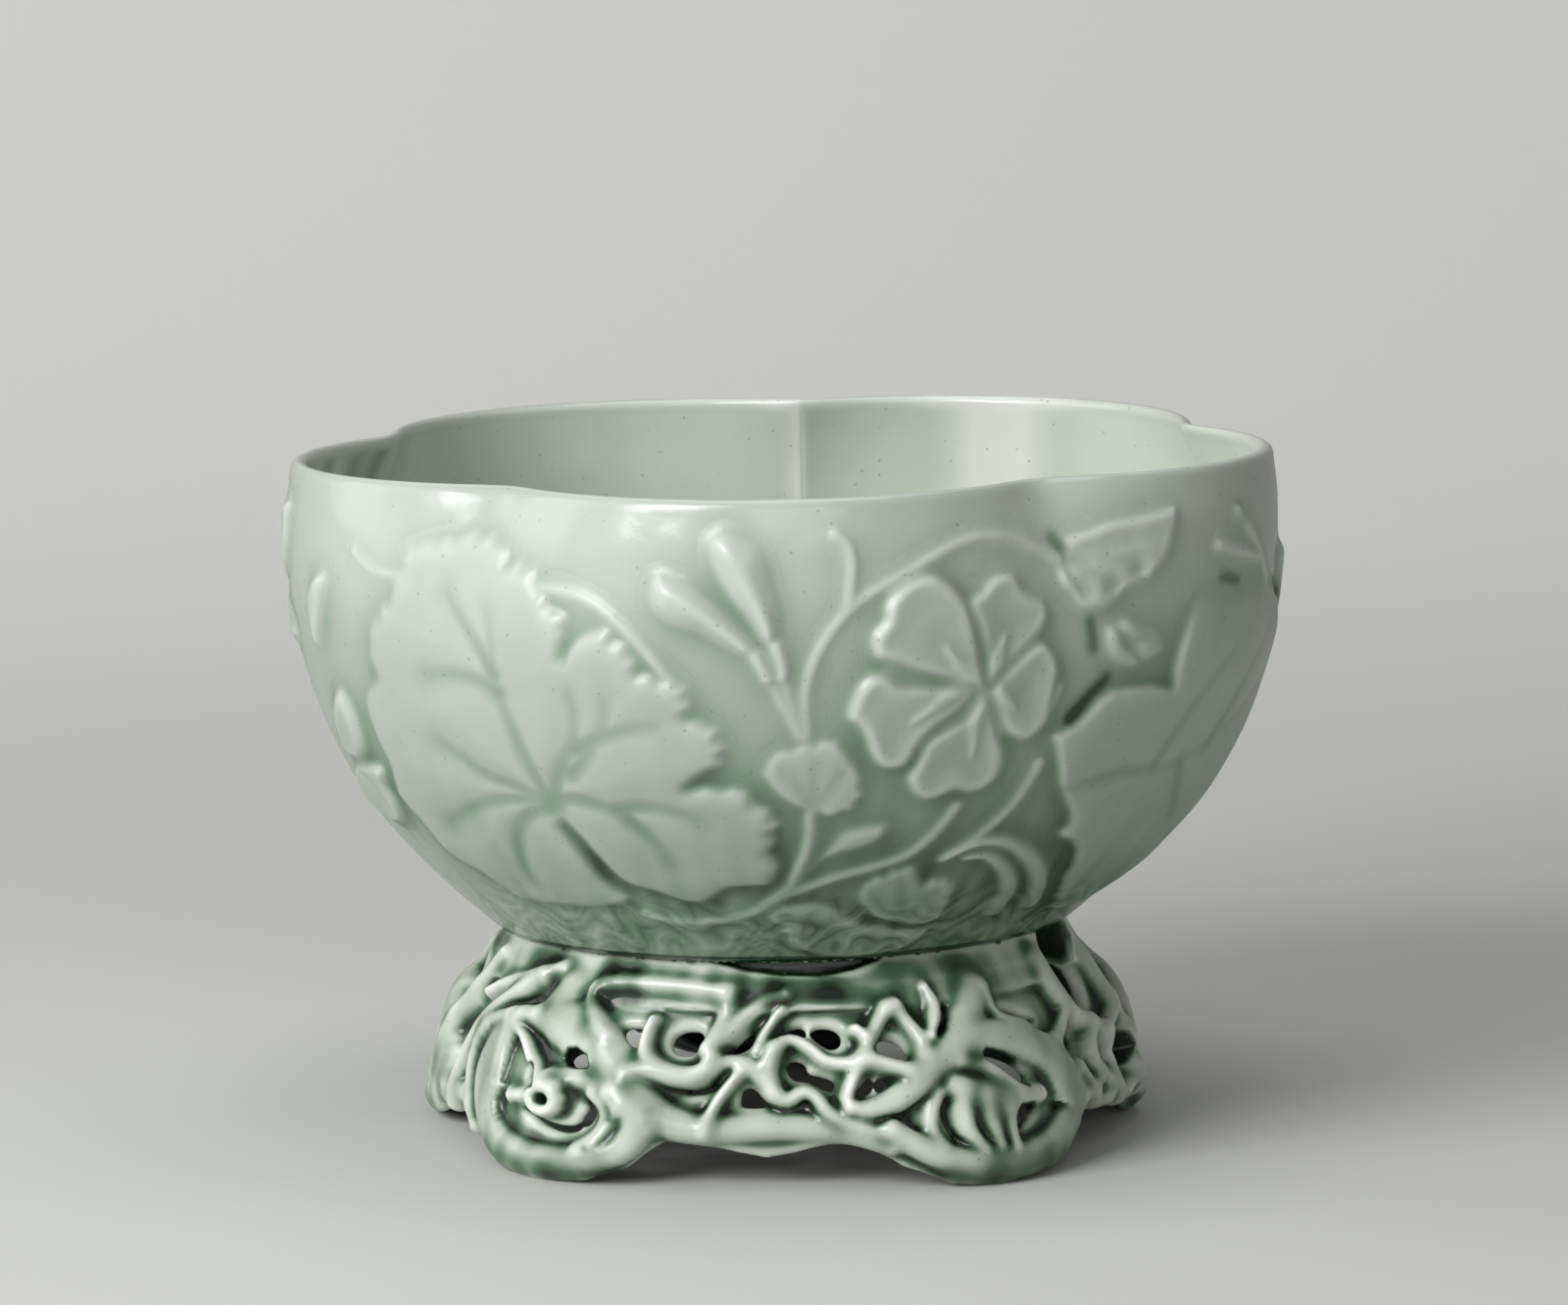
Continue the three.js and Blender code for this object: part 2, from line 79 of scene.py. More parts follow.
def toFrame(points):
    placed = np.array(points, float)
    placed[..., 2] += leaning(placed, placed[..., 2])
    return (placed + axis) * 0.001


# The bowl's outer face: a swelling profile, drawn in at the creases between its lobes
def fullRadius(height):
    rise = np.clip((height - bowl["base"]) / (bowl["belly"] - bowl["base"]), 0, 1)
    growth = (bowl["bellyRadius"] - bowl["baseRadius"]) * (1 - (1 - rise) ** bowl["bellyCurve"])
    drawn = bowl["lipDraw"] * smooth((height - bowl["belly"]) / (bowl["rim"] - bowl["belly"]))
    return bowl["baseRadius"] + growth - drawn


def lobed(azimuth, height, radius):
    share = np.clip((height - bowl["creaseBottom"]) / (bowl["rim"] - bowl["creaseBottom"]), 0, 1)
    depth = bowl["lobeDepth"] * share ** bowl["creaseFade"]
    pitch = 360 / bowl["lobes"]
    off = np.abs((azimuth - bowl["frontLobe"] + pitch / 2) % pitch - pitch / 2)

    def reach(angle):
        turn = np.radians(angle)
        return radius * (depth * np.cos(turn) + np.sqrt((1 - depth) ** 2 - (depth * np.sin(turn)) ** 2))

    near, beside = reach(off), reach(pitch - off)
    return near + bowl["creaseRound"] * np.log1p(np.exp((beside - near) / bowl["creaseRound"]))


def wallRadius(azimuth, height):
    return lobed(azimuth, height, fullRadius(height))


def polar(radiusOf, azimuth, height):
    radius, turn = radiusOf(azimuth, height), np.radians(azimuth)
    return np.stack([radius * np.cos(turn), radius * np.sin(turn), height + 0 * radius], -1)


def raised(radiusOf, azimuth, height, lift):
    small = 0.05
    across = polar(radiusOf, azimuth + small, height) - polar(radiusOf, azimuth - small, height)
    upward = polar(radiusOf, azimuth, height + small) - polar(radiusOf, azimuth, height - small)
    return polar(radiusOf, azimuth, height) + unit(np.cross(across, upward)) * np.asarray(lift)[..., None]


# The camera, and the way from a point of the picture to a place on the wall
view = {
    "distance": 2000.0, "elevation": 7.73, "focal": 3.96, "aimX": 0.1, "aimZ": 123.7, "sensor": 36.0,
    "width": 1600, "height": 1332, "before": 160, "beyond": 60, "march": 0.25, "clip": (0.1, 30),
}
tilt = math.radians(view["elevation"])
ahead = np.array([0, math.cos(tilt), -math.sin(tilt)])
upright = np.array([0, math.sin(tilt), math.cos(tilt)])
eye = np.array([view["aimX"], 0, view["aimZ"]]) - ahead * view["distance"]


def onWall(pixels, radiusOf=wallRadius):
    # azimuth and height where the sight line of each pixel meets the wall, or passes closest to it
    pixels = np.array(pixels, float)
    aside = np.outer(pixels[:, 0] - view["width"] / 2, [1, 0, 0])
    below = np.outer(pixels[:, 1] - view["height"] / 2, upright)
    ray = unit(ahead * view["focal"] * view["distance"] + aside - below)
    reached = np.arange(view["distance"] - view["before"], view["distance"] + view["beyond"], view["march"])
    points = eye + ray[:, None] * reached[:, None]
    height = points[..., 2] - leaning(points, points[..., 2])
    azimuth = np.degrees(np.arctan2(points[..., 1], points[..., 0])) % 360
    outside = np.hypot(points[..., 0], points[..., 1]) - radiusOf(azimuth, height)
    first = np.where((outside < 0).any(1), (outside < 0).argmax(1), outside.argmin(1))
    each = np.arange(len(pixels))
    return np.stack([azimuth[each, first], height[each, first]], 1)


scene = bpy.context.scene
scene.view_settings.view_transform = "Standard"


def addObject(name, data):
    thing = bpy.data.objects.new(name, data)
    scene.collection.objects.link(thing)
    return thing


lens = bpy.data.cameras.new("camera")
lens.sensor_width = view["sensor"]
lens.lens = view["sensor"] * view["focal"] * view["distance"] / view["width"]
lens.clip_start, lens.clip_end = view["clip"]
camera = addObject("camera", lens)
camera.location = (eye + axis) * 0.001
camera.rotation_euler = (math.pi / 2 - tilt, 0, 0)
scene.camera = camera
print("camera placed")


# Node helpers for materials and shapes alike
def wire(tree, node, inputs):
    for key, value in inputs.items():
        socket = node.inputs[key]
        if isinstance(value, bpy.types.NodeSocket):
            tree.links.new(value, socket)
        else:
            socket.default_value = value
    return node


def addNode(tree, kind, inputs=None, **settings):
    node = tree.nodes.new(kind)
    for key, value in settings.items():
        setattr(node, key, value)
    return wire(tree, node, inputs or {})


def result(tree, kind, inputs=None, **settings):
    return addNode(tree, kind, inputs, **settings).outputs[0]


def calculator(tree, kind="ShaderNodeMath"):
    def calculate(operation, *values):
        return result(tree, kind, dict(enumerate(values)), operation=operation)
    return calculate


def blend(tree, amount, under, over):
    return addNode(tree, "ShaderNodeMix", {0: amount, 6: under, 7: over}, data_type="RGBA").outputs[2]


def ramp(tree, value, low, high, **settings):
    return result(tree, "ShaderNodeMapRange", {"Value": value, "From Min": low, "From Max": high}, **settings)


def addGroup(name, treeKind, inputs, outputKind, outputName):
    # the inputs are given by kind, then by name with their defaults
    tree = bpy.data.node_groups.new(name, treeKind)
    for kind, sockets in inputs.items():
        for label, default in sockets.items():
            socket = tree.interface.new_socket(name=label, in_out="INPUT", socket_type="NodeSocket" + kind)
            if default is not None:
                socket.default_value = default
    tree.interface.new_socket(name=outputName, in_out="OUTPUT", socket_type="NodeSocket" + outputKind)
    return tree, tree.nodes.new("NodeGroupInput").outputs, tree.nodes.new("NodeGroupOutput").inputs


# The grain of the glaze: clouds of colour, specks and pinholes, and a slow ripple
grain = {
    "cloudScale": 38.0, "cloudDetail": 3.0, "deep": (0.0, 0.55), "pit": (0.55, 1.0), "dot": (0.12, 0.32),
    "fineScale": 420.0, "fineShare": 0.08, "rippleWidth": 60.0, "speckScale": 620.0, "speckDepth": 0.45,
}


# Glaze colour: pale where it runs thin over edges, green where it pools
def makeGlazeDepth():
    tree, given, made = addGroup("glazeDepth", "ShaderNodeTree", {
        "Float": {"Pool": 0.0, "Crest": 0.0, "Mottle": 0.3},
        "Color": dict.fromkeys(("Thin", "Body", "Deep", "Pit"), (1, 1, 1, 1))}, "Color", "Colour")
    place = addNode(tree, "ShaderNodeTexCoord").outputs["Object"]
    calculate = calculator(tree)
    clouds = addNode(tree, "ShaderNodeTexNoise", {
        "Vector": place, "Scale": grain["cloudScale"], "Detail": grain["cloudDetail"]}).outputs["Fac"]
    drift = calculate("MULTIPLY", calculate("SUBTRACT", clouds, 0.5), given["Mottle"])
    pool = calculate("ADD", given["Pool"], drift)
    colour = blend(tree, ramp(tree, pool, *grain["deep"]), given["Body"], given["Deep"])
    colour = blend(tree, ramp(tree, pool, *grain["pit"]), colour, given["Pit"])
    colour = blend(tree, given["Crest"], colour, given["Thin"])
    tree.links.new(colour, made["Colour"])
    return tree


# Fine dark specks of iron and pinholes in the glaze
def makeGlazeSpecks():
    tree, given, made = addGroup("glazeSpecks", "ShaderNodeTree", {
        "Float": {"Scale": grain["speckScale"], "Share": 0.1}}, "Float", "Mask")
    place = addNode(tree, "ShaderNodeTexCoord").outputs["Object"]
    cells = addNode(tree, "ShaderNodeTexVoronoi", {"Vector": place, "Scale": given["Scale"]}).outputs
    calculate = calculator(tree)
    chance = result(tree, "ShaderNodeSeparateColor", {0: cells["Color"]})
    low, high = grain["dot"]
    dot = result(tree, "ShaderNodeMapRange", {"Value": cells["Distance"], "From Min": low, "From Max": high,
                                              "To Min": 1.0, "To Max": 0.0})
    chosen = calculate("LESS_THAN", chance, given["Share"])
    tree.links.new(calculate("MULTIPLY", chosen, dot), made["Mask"])
    return tree


# The slow ripple of a thick glaze, as a height for bump
def makeGlazeRipple():
    tree, given, made = addGroup("glazeRipple", "ShaderNodeTree", {
        "Float": {"Width": grain["rippleWidth"]}}, "Float", "Height")
    place = addNode(tree, "ShaderNodeTexCoord").outputs["Object"]
    broad, fine = (addNode(tree, "ShaderNodeTexNoise", {
        "Vector": place, "Scale": scale, "Detail": 1.0}).outputs["Fac"]
        for scale in (given["Width"], grain["fineScale"]))
    mixed = calculator(tree)("MULTIPLY_ADD", fine, grain["fineShare"], broad)
    tree.links.new(mixed, made["Height"])
    return tree


glazeDepth, glazeSpecks, glazeRipple = makeGlazeDepth(), makeGlazeSpecks(), makeGlazeRipple()


def linear(*levels):
    # a colour given as it looks on screen, 0 to 255
    return tuple(((v / 255 + 0.055) / 1.055) ** 2.4 for v in levels) + (1.0,)


def addMaterial(name):
    material = bpy.data.materials.new(name)
    material.use_nodes = True
    return material, material.node_tree, material.node_tree.nodes["Principled BSDF"]


glaze = {
    "thin": linear(209, 212, 208), "body": linear(173, 181, 172), "deep": linear(112, 136, 113),
    "pit": linear(30, 54, 34), "lining": linear(193, 200, 190), "speck": linear(96, 108, 90),
    "roughness": 0.2, "index": 1.5, "ripple": 0.0006, "mottle": 0.14, "specks": 0.05,
}
sprigGlaze = {"ripple": 0.0009, "roughness": 0.36}
standGlaze = {
    "thin": linear(229, 231, 226), "body": linear(177, 188, 173), "deep": linear(80, 110, 82),
    "pit": linear(16, 28, 18), "mottle": 0.34, "roughness": 0.27,
}


def celadon(name, changes):
    values = {**glaze, **changes}
    material, tree, shader = addMaterial(name)
    pool, crest, inner = (addNode(tree, "ShaderNodeAttribute", attribute_name=field).outputs["Fac"]
                          for field in ("pool", "crest", "inner"))
    depth = result(tree, "ShaderNodeGroup", {
        "Pool": pool, "Crest": crest, "Thin": values["thin"], "Body": values["body"],
        "Deep": values["deep"], "Pit": values["pit"], "Mottle": values["mottle"]}, node_tree=glazeDepth)
    specks = result(tree, "ShaderNodeGroup", {"Share": values["specks"]}, node_tree=glazeSpecks)
    faint = calculator(tree)("MULTIPLY", specks, grain["speckDepth"])
    lining = blend(tree, inner, depth, values["lining"])
    ripple = result(tree, "ShaderNodeGroup", node_tree=glazeRipple)
    bump = result(tree, "ShaderNodeBump", {"Height": ripple, "Strength": 1.0, "Distance": values["ripple"]})
    wire(tree, shader, {"Base Color": blend(tree, faint, lining, values["speck"]), "Normal": bump,
                        "Roughness": values["roughness"], "IOR": values["index"]})
    return material


materials = {
    "bowl": celadon("bowlGlaze", {}), "sprig": celadon("sprigGlaze", sprigGlaze),
    "stand": celadon("standGlaze", standGlaze),
}
print("glazes mixed")


def addPiece(name, mesh, material, nodes):
    piece = addObject(name, mesh)
    if material:
        mesh.materials.append(material)
    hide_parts(*nodes)
    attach(piece, "root")


def addMesh(name, points, faces, normals=None):
    mesh = bpy.data.meshes.new(name)
    mesh.from_pydata(points, [], faces)
    mesh.polygons.foreach_set("use_smooth", np.ones(len(faces), bool))
    if normals is not None:
        mesh.normals_split_custom_set_from_vertices(normals.tolist())
    return mesh


def addValues(mesh, **fields):
    for name, values in fields.items():
        attribute = mesh.attributes.new(name, "FLOAT", "POINT")
        attribute.data.foreach_set("value", np.ascontiguousarray(values, np.float32).ravel())


# Relief on the wall: one field of heights over azimuth and the way up the wall, which every
# sprig is laid into, melted together as under a glaze, and then cut up again by sprig.
relief = {
    "columns": 1500, "step": 0.5, "low": 57.4, "high": 175.0, "melt": 0.74, "fill": 0.6, "fillWidth": 1.8,
    "least": 0.02, "root": 1.0, "reach": 4.0, "rowMargin": 12, "columnMargin": 14, "block": 6,
}
heightTable = np.linspace(bowl["base"], bowl["rim"], 1200)
slope = np.gradient(fullRadius(heightTable), heightTable)
wayTable = np.concatenate([[0], np.cumsum(np.hypot(1, slope[1:]) * np.diff(heightTable))])


def wayUp(height):
    return np.interp(height, heightTable, wayTable)


rowWays = np.arange(wayUp(relief["low"]), wayUp(relief["high"]), relief["step"])
rowHeights = np.interp(rowWays, wayTable, heightTable)
rowDegrees = fullRadius(rowHeights) * math.pi / 180          # width of a degree in mm
columnStep = 360 / relief["columns"]
wallRelief = np.zeros((len(rowHeights), relief["columns"]))
wallOwner = np.full(wallRelief.shape, -1)
sprigNames = []
sprigSpans = []


def columnsRound(points, side, step):
    first = math.floor((points[:, 0].min() - side) / step)
    return np.arange(first, math.ceil((points[:, 0].max() + side) / step))


def rowsRound(ways, reach, rows):
    return np.where((rows > ways.min() - reach) & (rows < ways.max() + reach))[0]


def plotAround(points):
    # the stretch of wall round some places, as arrays of azimuth, way up and width of a degree
    points = np.asarray(points)
    side = relief["reach"] / (fullRadius(points[:, 1].mean()) * math.pi / 180)
    columns = columnsRound(points, side, columnStep)
    rows = rowsRound(wayUp(points[:, 1]), relief["reach"], rowWays)
    azimuth, way = np.meshgrid(columns * columnStep, rowWays[rows])
    degree = np.repeat(rowDegrees[rows][:, None], len(columns), 1)
    return SimpleNamespace(rows=rows, columns=columns, azimuth=azimuth, way=way, degree=degree, wayOf=wayUp)


def wallCells(plot):
    return np.ix_(plot.rows, plot.columns % relief["columns"])


def nearRoute(plot, route, closed=False):
    # distance in mm from a route of (azimuth, height) points, and how far along it, 0 to 1
    route = np.asarray(route)
    ends = np.roll(route, -1, 0) if closed else route[1:]
    starts = route[:len(ends)]
    nearest = np.full(plot.azimuth.shape, 1e3)
    along = np.zeros(plot.azimuth.shape)
    for index, ((a0, z0), (a1, z1)) in enumerate(zip(starts, ends)):
        px, py = (plot.azimuth - a0) * plot.degree, plot.way - plot.wayOf(z0)
        dx, dy = (a1 - a0) * plot.degree, plot.wayOf(z1) - plot.wayOf(z0)
        share = np.clip((px * dx + py * dy) / (dx * dx + dy * dy + 1e-9), 0, 1)
        gone = np.hypot(px - share * dx, py - share * dy)
        closer = gone < nearest
        nearest = np.where(closer, gone, nearest)
        along = np.where(closer, (index + share) / len(starts), along)
    return nearest, along


def insideBy(plot, outline):
    # distance in mm inside a closed outline, negative outside it
    nearest, _ = nearRoute(plot, outline, closed=True)
    inside = np.zeros(plot.azimuth.shape, bool)
    corners = np.c_[outline[:, 0], plot.wayOf(outline[:, 1])]
    for (a0, w0), (a1, w1) in zip(corners, np.roll(corners, -1, 0)):
        if w0 != w1:
            crossing = (a1 - a0) * (plot.way - w0) / (w1 - w0) + a0
            inside ^= ((w0 > plot.way) != (w1 > plot.way)) & (plot.azimuth < crossing)
    return np.where(inside, nearest, -nearest)


def curveThrough(points, each=6, closed=False):
    # a smooth curve through listed points
    points = np.asarray(points, float)
    if closed:
        padded = np.concatenate([points[-1:], points, points[:2]])
    else:
        padded = np.concatenate([2 * points[:1] - points[1:2], points, 2 * points[-1:] - points[-2:-1]])
    share = np.arange(each)[:, None] / each
    parts = []
    for p0, p1, p2, p3 in zip(padded, padded[1:], padded[2:], padded[3:]):
        parts.append(0.5 * (2 * p1 + (p2 - p0) * share + (2 * p0 - 5 * p1 + 4 * p2 - p3) * share ** 2
                            + (3 * p1 - p0 - 3 * p2 + p3) * share ** 3))
    curve = np.concatenate(parts)
    return curve if closed else np.concatenate([curve, points[-1:]])


def shoulder(inside, width):
    # a rounded edge: 0 at the outline, 1 from that width inwards
    return np.sin(np.clip(inside / width, 0, 1) * math.pi / 2)


def layOn(name, plot, height):
    if name not in sprigNames:
        sprigNames.append(name)
        sprigSpans.append([plot.rows[0], plot.rows[-1], plot.columns[0], plot.columns[-1]])
    number = sprigNames.index(name)
    span = sprigSpans[number]
    sprigSpans[number] = [min(span[0], plot.rows[0]), max(span[1], plot.rows[-1]),
                          min(span[2], plot.columns[0]), max(span[3], plot.columns[-1])]
    cells = wallCells(plot)
    under = wallRelief[cells]
    higher = height > under + 0.01
    wallRelief[cells] = np.where(higher, height, under)
    wallOwner[cells] = np.where(higher, number, wallOwner[cells])


def turned(points, turn):
    return np.asarray(points) + [turn, 0]


def wallCurve(pixels, turn, each=3, closed=False):
    return turned(curveThrough(onWall(pixels), each, closed), turn)


def laySprigStem(name, route, startWidth, endWidth, height, turn):
    # a stalk of half-round section; widths are half widths
    path = wallCurve(route, turn, 4)
    plot = plotAround(path)
    gap, along = nearRoute(plot, path)
    width = startWidth + (endWidth - startWidth) * along
    layOn(name, plot, height * np.sqrt(np.clip(1 - (gap / width) ** 2, 0, 1)))


# The broad serrated leaf: outline and veins as points of the picture
broadLeaf = {
    "stemSize": (1.8, 1.4, 1.1), "tendrilSize": (1.4, 1.2, 0.7), "height": 1.6, "low": 0.5, "edge": 3.0,
    "rim": 0.1, "swell": 1.0, "veinDepth": 0.8, "veinWidth": 1.6,
    "stem": [(540, 600), (575, 604), (608, 618), (640, 645), (668, 676), (690, 704)],
    "tendril": [(361, 562), (370, 574), (385, 584), (400, 587), (412, 592)],
    "outline": [
        (400, 602), (401, 590), (404, 580), (411, 579), (408, 568), (415, 562), (417, 553), (426, 556),
        (440, 547), (450, 550), (460, 543), (468, 547), (480, 540), (490, 537), (496, 545), (509, 537),
        (511, 553), (520, 556), (522, 568), (519, 578), (528, 572), (537, 568), (536, 579), (552, 578),
        (547, 588), (554, 603), (562, 602), (563, 620), (570, 621), (577, 625), (582, 634), (578, 641),
        (580, 648), (576, 658), (575, 671), (582, 659), (592, 648), (605, 642), (620, 638), (626, 641),
        (627, 653), (636, 653), (642, 655), (645, 667), (654, 671), (651, 686), (662, 685), (670, 688),
        (673, 693), (685, 687), (694, 695), (706, 700), (703, 709), (710, 717), (707, 726), (700, 731),
        (712, 732), (723, 738), (737, 742), (735, 752), (745, 762), (738, 771), (743, 779), (718, 790),
        (701, 803), (722, 799), (735, 803), (750, 801), (765, 805), (771, 817), (788, 823), (790, 832),
        (801, 840), (789, 848), (794, 855), (787, 867), (798, 882), (791, 893), (787, 902), (765, 903),
        (745, 904), (733, 912), (718, 920), (698, 918), (672, 909), (648, 903), (635, 897), (624, 887),
        (606, 868), (592, 852), (577, 837), (574, 842), (587, 858), (600, 874), (616, 893), (632, 906),
        (646, 914), (640, 922), (612, 925), (590, 924), (560, 921), (532, 916), (512, 902), (492, 888),
        (475, 880), (456, 866), (445, 854), (433, 838), (419, 824), (407, 808), (399, 778), (387, 755),
        (377, 728), (374, 714), (377, 702), (386, 690), (377, 668), (378, 652), (376, 645), (381, 632),
        (386, 627), (389, 615), (398, 613)],
    "veins": [
        [(572, 822), (557, 806), (538, 772), (525, 742), (512, 713), (506, 685), (503, 655), (500, 625)],
        [(505, 690), (496, 672), (483, 650), (468, 625), (458, 606)],
        [(510, 708), (492, 695), (466, 688), (440, 689)],
        [(566, 817), (548, 810), (530, 802), (498, 789), (476, 773), (452, 756)],
        [(566, 820), (545, 816), (515, 815), (490, 821), (462, 838)],
        [(566, 824), (548, 827), (535, 836), (531, 855), (536, 880), (545, 896)],
        [(572, 814), (598, 816), (632, 827), (656, 842), (678, 862), (690, 880)],
        [(568, 812), (574, 784), (587, 757), (589, 732), (583, 705)],
        [(590, 765), (613, 752), (643, 743), (672, 738)], [(584, 790), (600, 772), (617, 742), (620, 715)],
        [(630, 826), (655, 822), (690, 826), (715, 834)], [(642, 834), (672, 858), (684, 882)]],
}

leafShape = {
    "rimAt": 1.0, "rimWidth": 0.9, "veinSpread": 3, "veinTaper": 0.9, "veinFade": 0.75, "swellWidth": 9,
    "swellEdge": 6,
}


def leafHeight(plot, outline, veins, values):
    inside = insideBy(plot, outline)
    across = smooth((plot.azimuth - outline[:, 0].min()) / np.ptp(outline[:, 0]))
    height = (values["low"] + (values["height"] - values["low"]) * across) * shoulder(inside, values["edge"])
    height += values["rim"] * hill(inside, leafShape["rimAt"], leafShape["rimWidth"]) * (inside > 0)
    between = np.full(inside.shape, 50.0)
    groove = np.zeros(inside.shape)
    for vein in veins:
        gap, along = nearRoute(plot, vein)
        between = np.minimum(between, gap + leafShape["veinSpread"] * along)
        width = values["veinWidth"] * (1.5 - leafShape["veinTaper"] * along)
        groove = np.maximum(groove, (1 - leafShape["veinFade"] * along) * hill(gap, 0, width))
    swell = values["swell"] * (1 - hill(between, 0, leafShape["swellWidth"]))
    height += swell * shoulder(inside, leafShape["swellEdge"])
    height -= values["veinDepth"] * groove * smooth(inside / 2)
    return np.where(inside > 0, np.maximum(height, 0), 0)


def makeBroadLeaf(where, turn):
    name = "broad_leaf_" + where
    outline = turned(onWall(broadLeaf["outline"]), turn)
    veins = [wallCurve(vein, turn) for vein in broadLeaf["veins"]]
    plot = plotAround(outline)
    laySprigStem(name, broadLeaf["stem"], *broadLeaf["stemSize"], turn)
    laySprigStem(name, broadLeaf["tendril"], *broadLeaf["tendrilSize"], turn)
    layOn(name, plot, leafHeight(plot, outline, veins, broadLeaf))


# Five overlapping petals round a star, the nearer ones later
blossom = {
    "heart": 0.35, "webEdge": 3, "rimAt": 1.8, "rimWidth": 1.3, "dish": 0.6, "height": 0.7, "rise": 0.9,
    "edge": 2.6, "rim": 0.22, "over": 0.22, "centre": (1004, 700), "radius": 27.0,
    "web": [(980, 610), (1062, 650), (1030, 748), (936, 772), (896, 682)], "webHeight": 0.8,
    "petals": [
        [(1004, 697), (1001, 671), (994, 643), (984, 614), (999, 602), (1006, 592), (1020, 584),
         (1034, 585), (1041, 597), (1052, 606), (1064, 612), (1069, 626), (1066, 638), (1059, 650),
         (1044, 666), (1026, 682)],
        [(1012, 704), (996, 712), (984, 728), (962, 741), (943, 753), (931, 777), (923, 792), (929, 808),
         (942, 816), (959, 813), (972, 806), (984, 809), (999, 806), (1014, 796), (1023, 780), (1024, 764),
         (1018, 745), (1014, 724)],
        [(1008, 700), (1017, 687), (1034, 672), (1050, 658), (1062, 653), (1073, 662), (1080, 677),
         (1077, 696), (1073, 716), (1069, 733), (1058, 747), (1045, 756), (1033, 753), (1023, 747),
         (1015, 732), (1010, 716)],
        [(994, 700), (965, 696), (940, 696), (920, 695), (906, 686), (891, 685), (876, 696), (866, 715),
         (863, 733), (874, 741), (881, 754), (886, 769), (895, 781), (910, 785), (926, 779), (938, 760),
         (953, 743), (972, 730), (990, 714)],
        [(1003, 696), (1000, 668), (995, 643), (988, 618), (976, 600), (962, 589), (946, 585), (926, 590),
         (910, 603), (901, 618), (899, 633), (889, 644), (887, 660), (893, 673), (914, 679), (938, 687),
         (962, 694), (984, 699)]],
    "rays": [
        [(1002, 700), (980, 700), (955, 716), (928, 735)],
        [(1003, 705), (997, 718), (993, 742), (990, 772)], [(1010, 704), (1020, 708), (1034, 722)],
        [(1000, 695), (990, 686), (976, 676), (962, 658)], [(1008, 694), (1014, 676), (1024, 646)]],
    "rayWidth": 3.2, "rayHeight": 0.9,
}


def makeBlossom(where, turn):
    name = "blossom_" + where
    heart = turned(onWall([blossom["centre"]]), turn)[0]
    outlines = [wallCurve(petal, turn, 3, True) for petal in blossom["petals"]]
    plot = plotAround(np.concatenate(outlines))
    fromHeart = np.hypot((plot.azimuth - heart[0]) * plot.degree, plot.way - wayUp(heart[1]))
    bowlOut = blossom["heart"] + (1 - blossom["heart"]) * smooth(fromHeart / (0.75 * blossom["radius"]))
    web = insideBy(plot, wallCurve(blossom["web"], turn, 3, True))
    layOn(name, plot, blossom["webHeight"] * shoulder(web, blossom["webEdge"]))
    for step, outline in enumerate(outlines):
        inside = insideBy(plot, outline)
        height = blossom["height"] + blossom["over"] * step + blossom["rise"] * bowlOut
        height *= shoulder(inside, blossom["edge"])
        height += blossom["rim"] * hill(inside, blossom["rimAt"], blossom["rimWidth"]) * (inside > 0)
        height -= blossom["dish"] * smooth((inside - 2) / 6)
        layOn(name, plot, np.where(inside > 0, height, 0))
    for ray in blossom["rays"]:
        gap, along = nearRoute(plot, wallCurve(ray, turn, 4))
        width = blossom["rayWidth"] * (0.35 + along * (1 - along) * 3) * (1 - along * 0.5)
        ridge = np.clip(1 - (gap / width) ** 2, 0, 1)
        raisedRay = wallRelief[wallCells(plot)] + blossom["rayHeight"] * ridge
        layOn(name, plot, np.where(ridge > 0, raisedRay, 0))


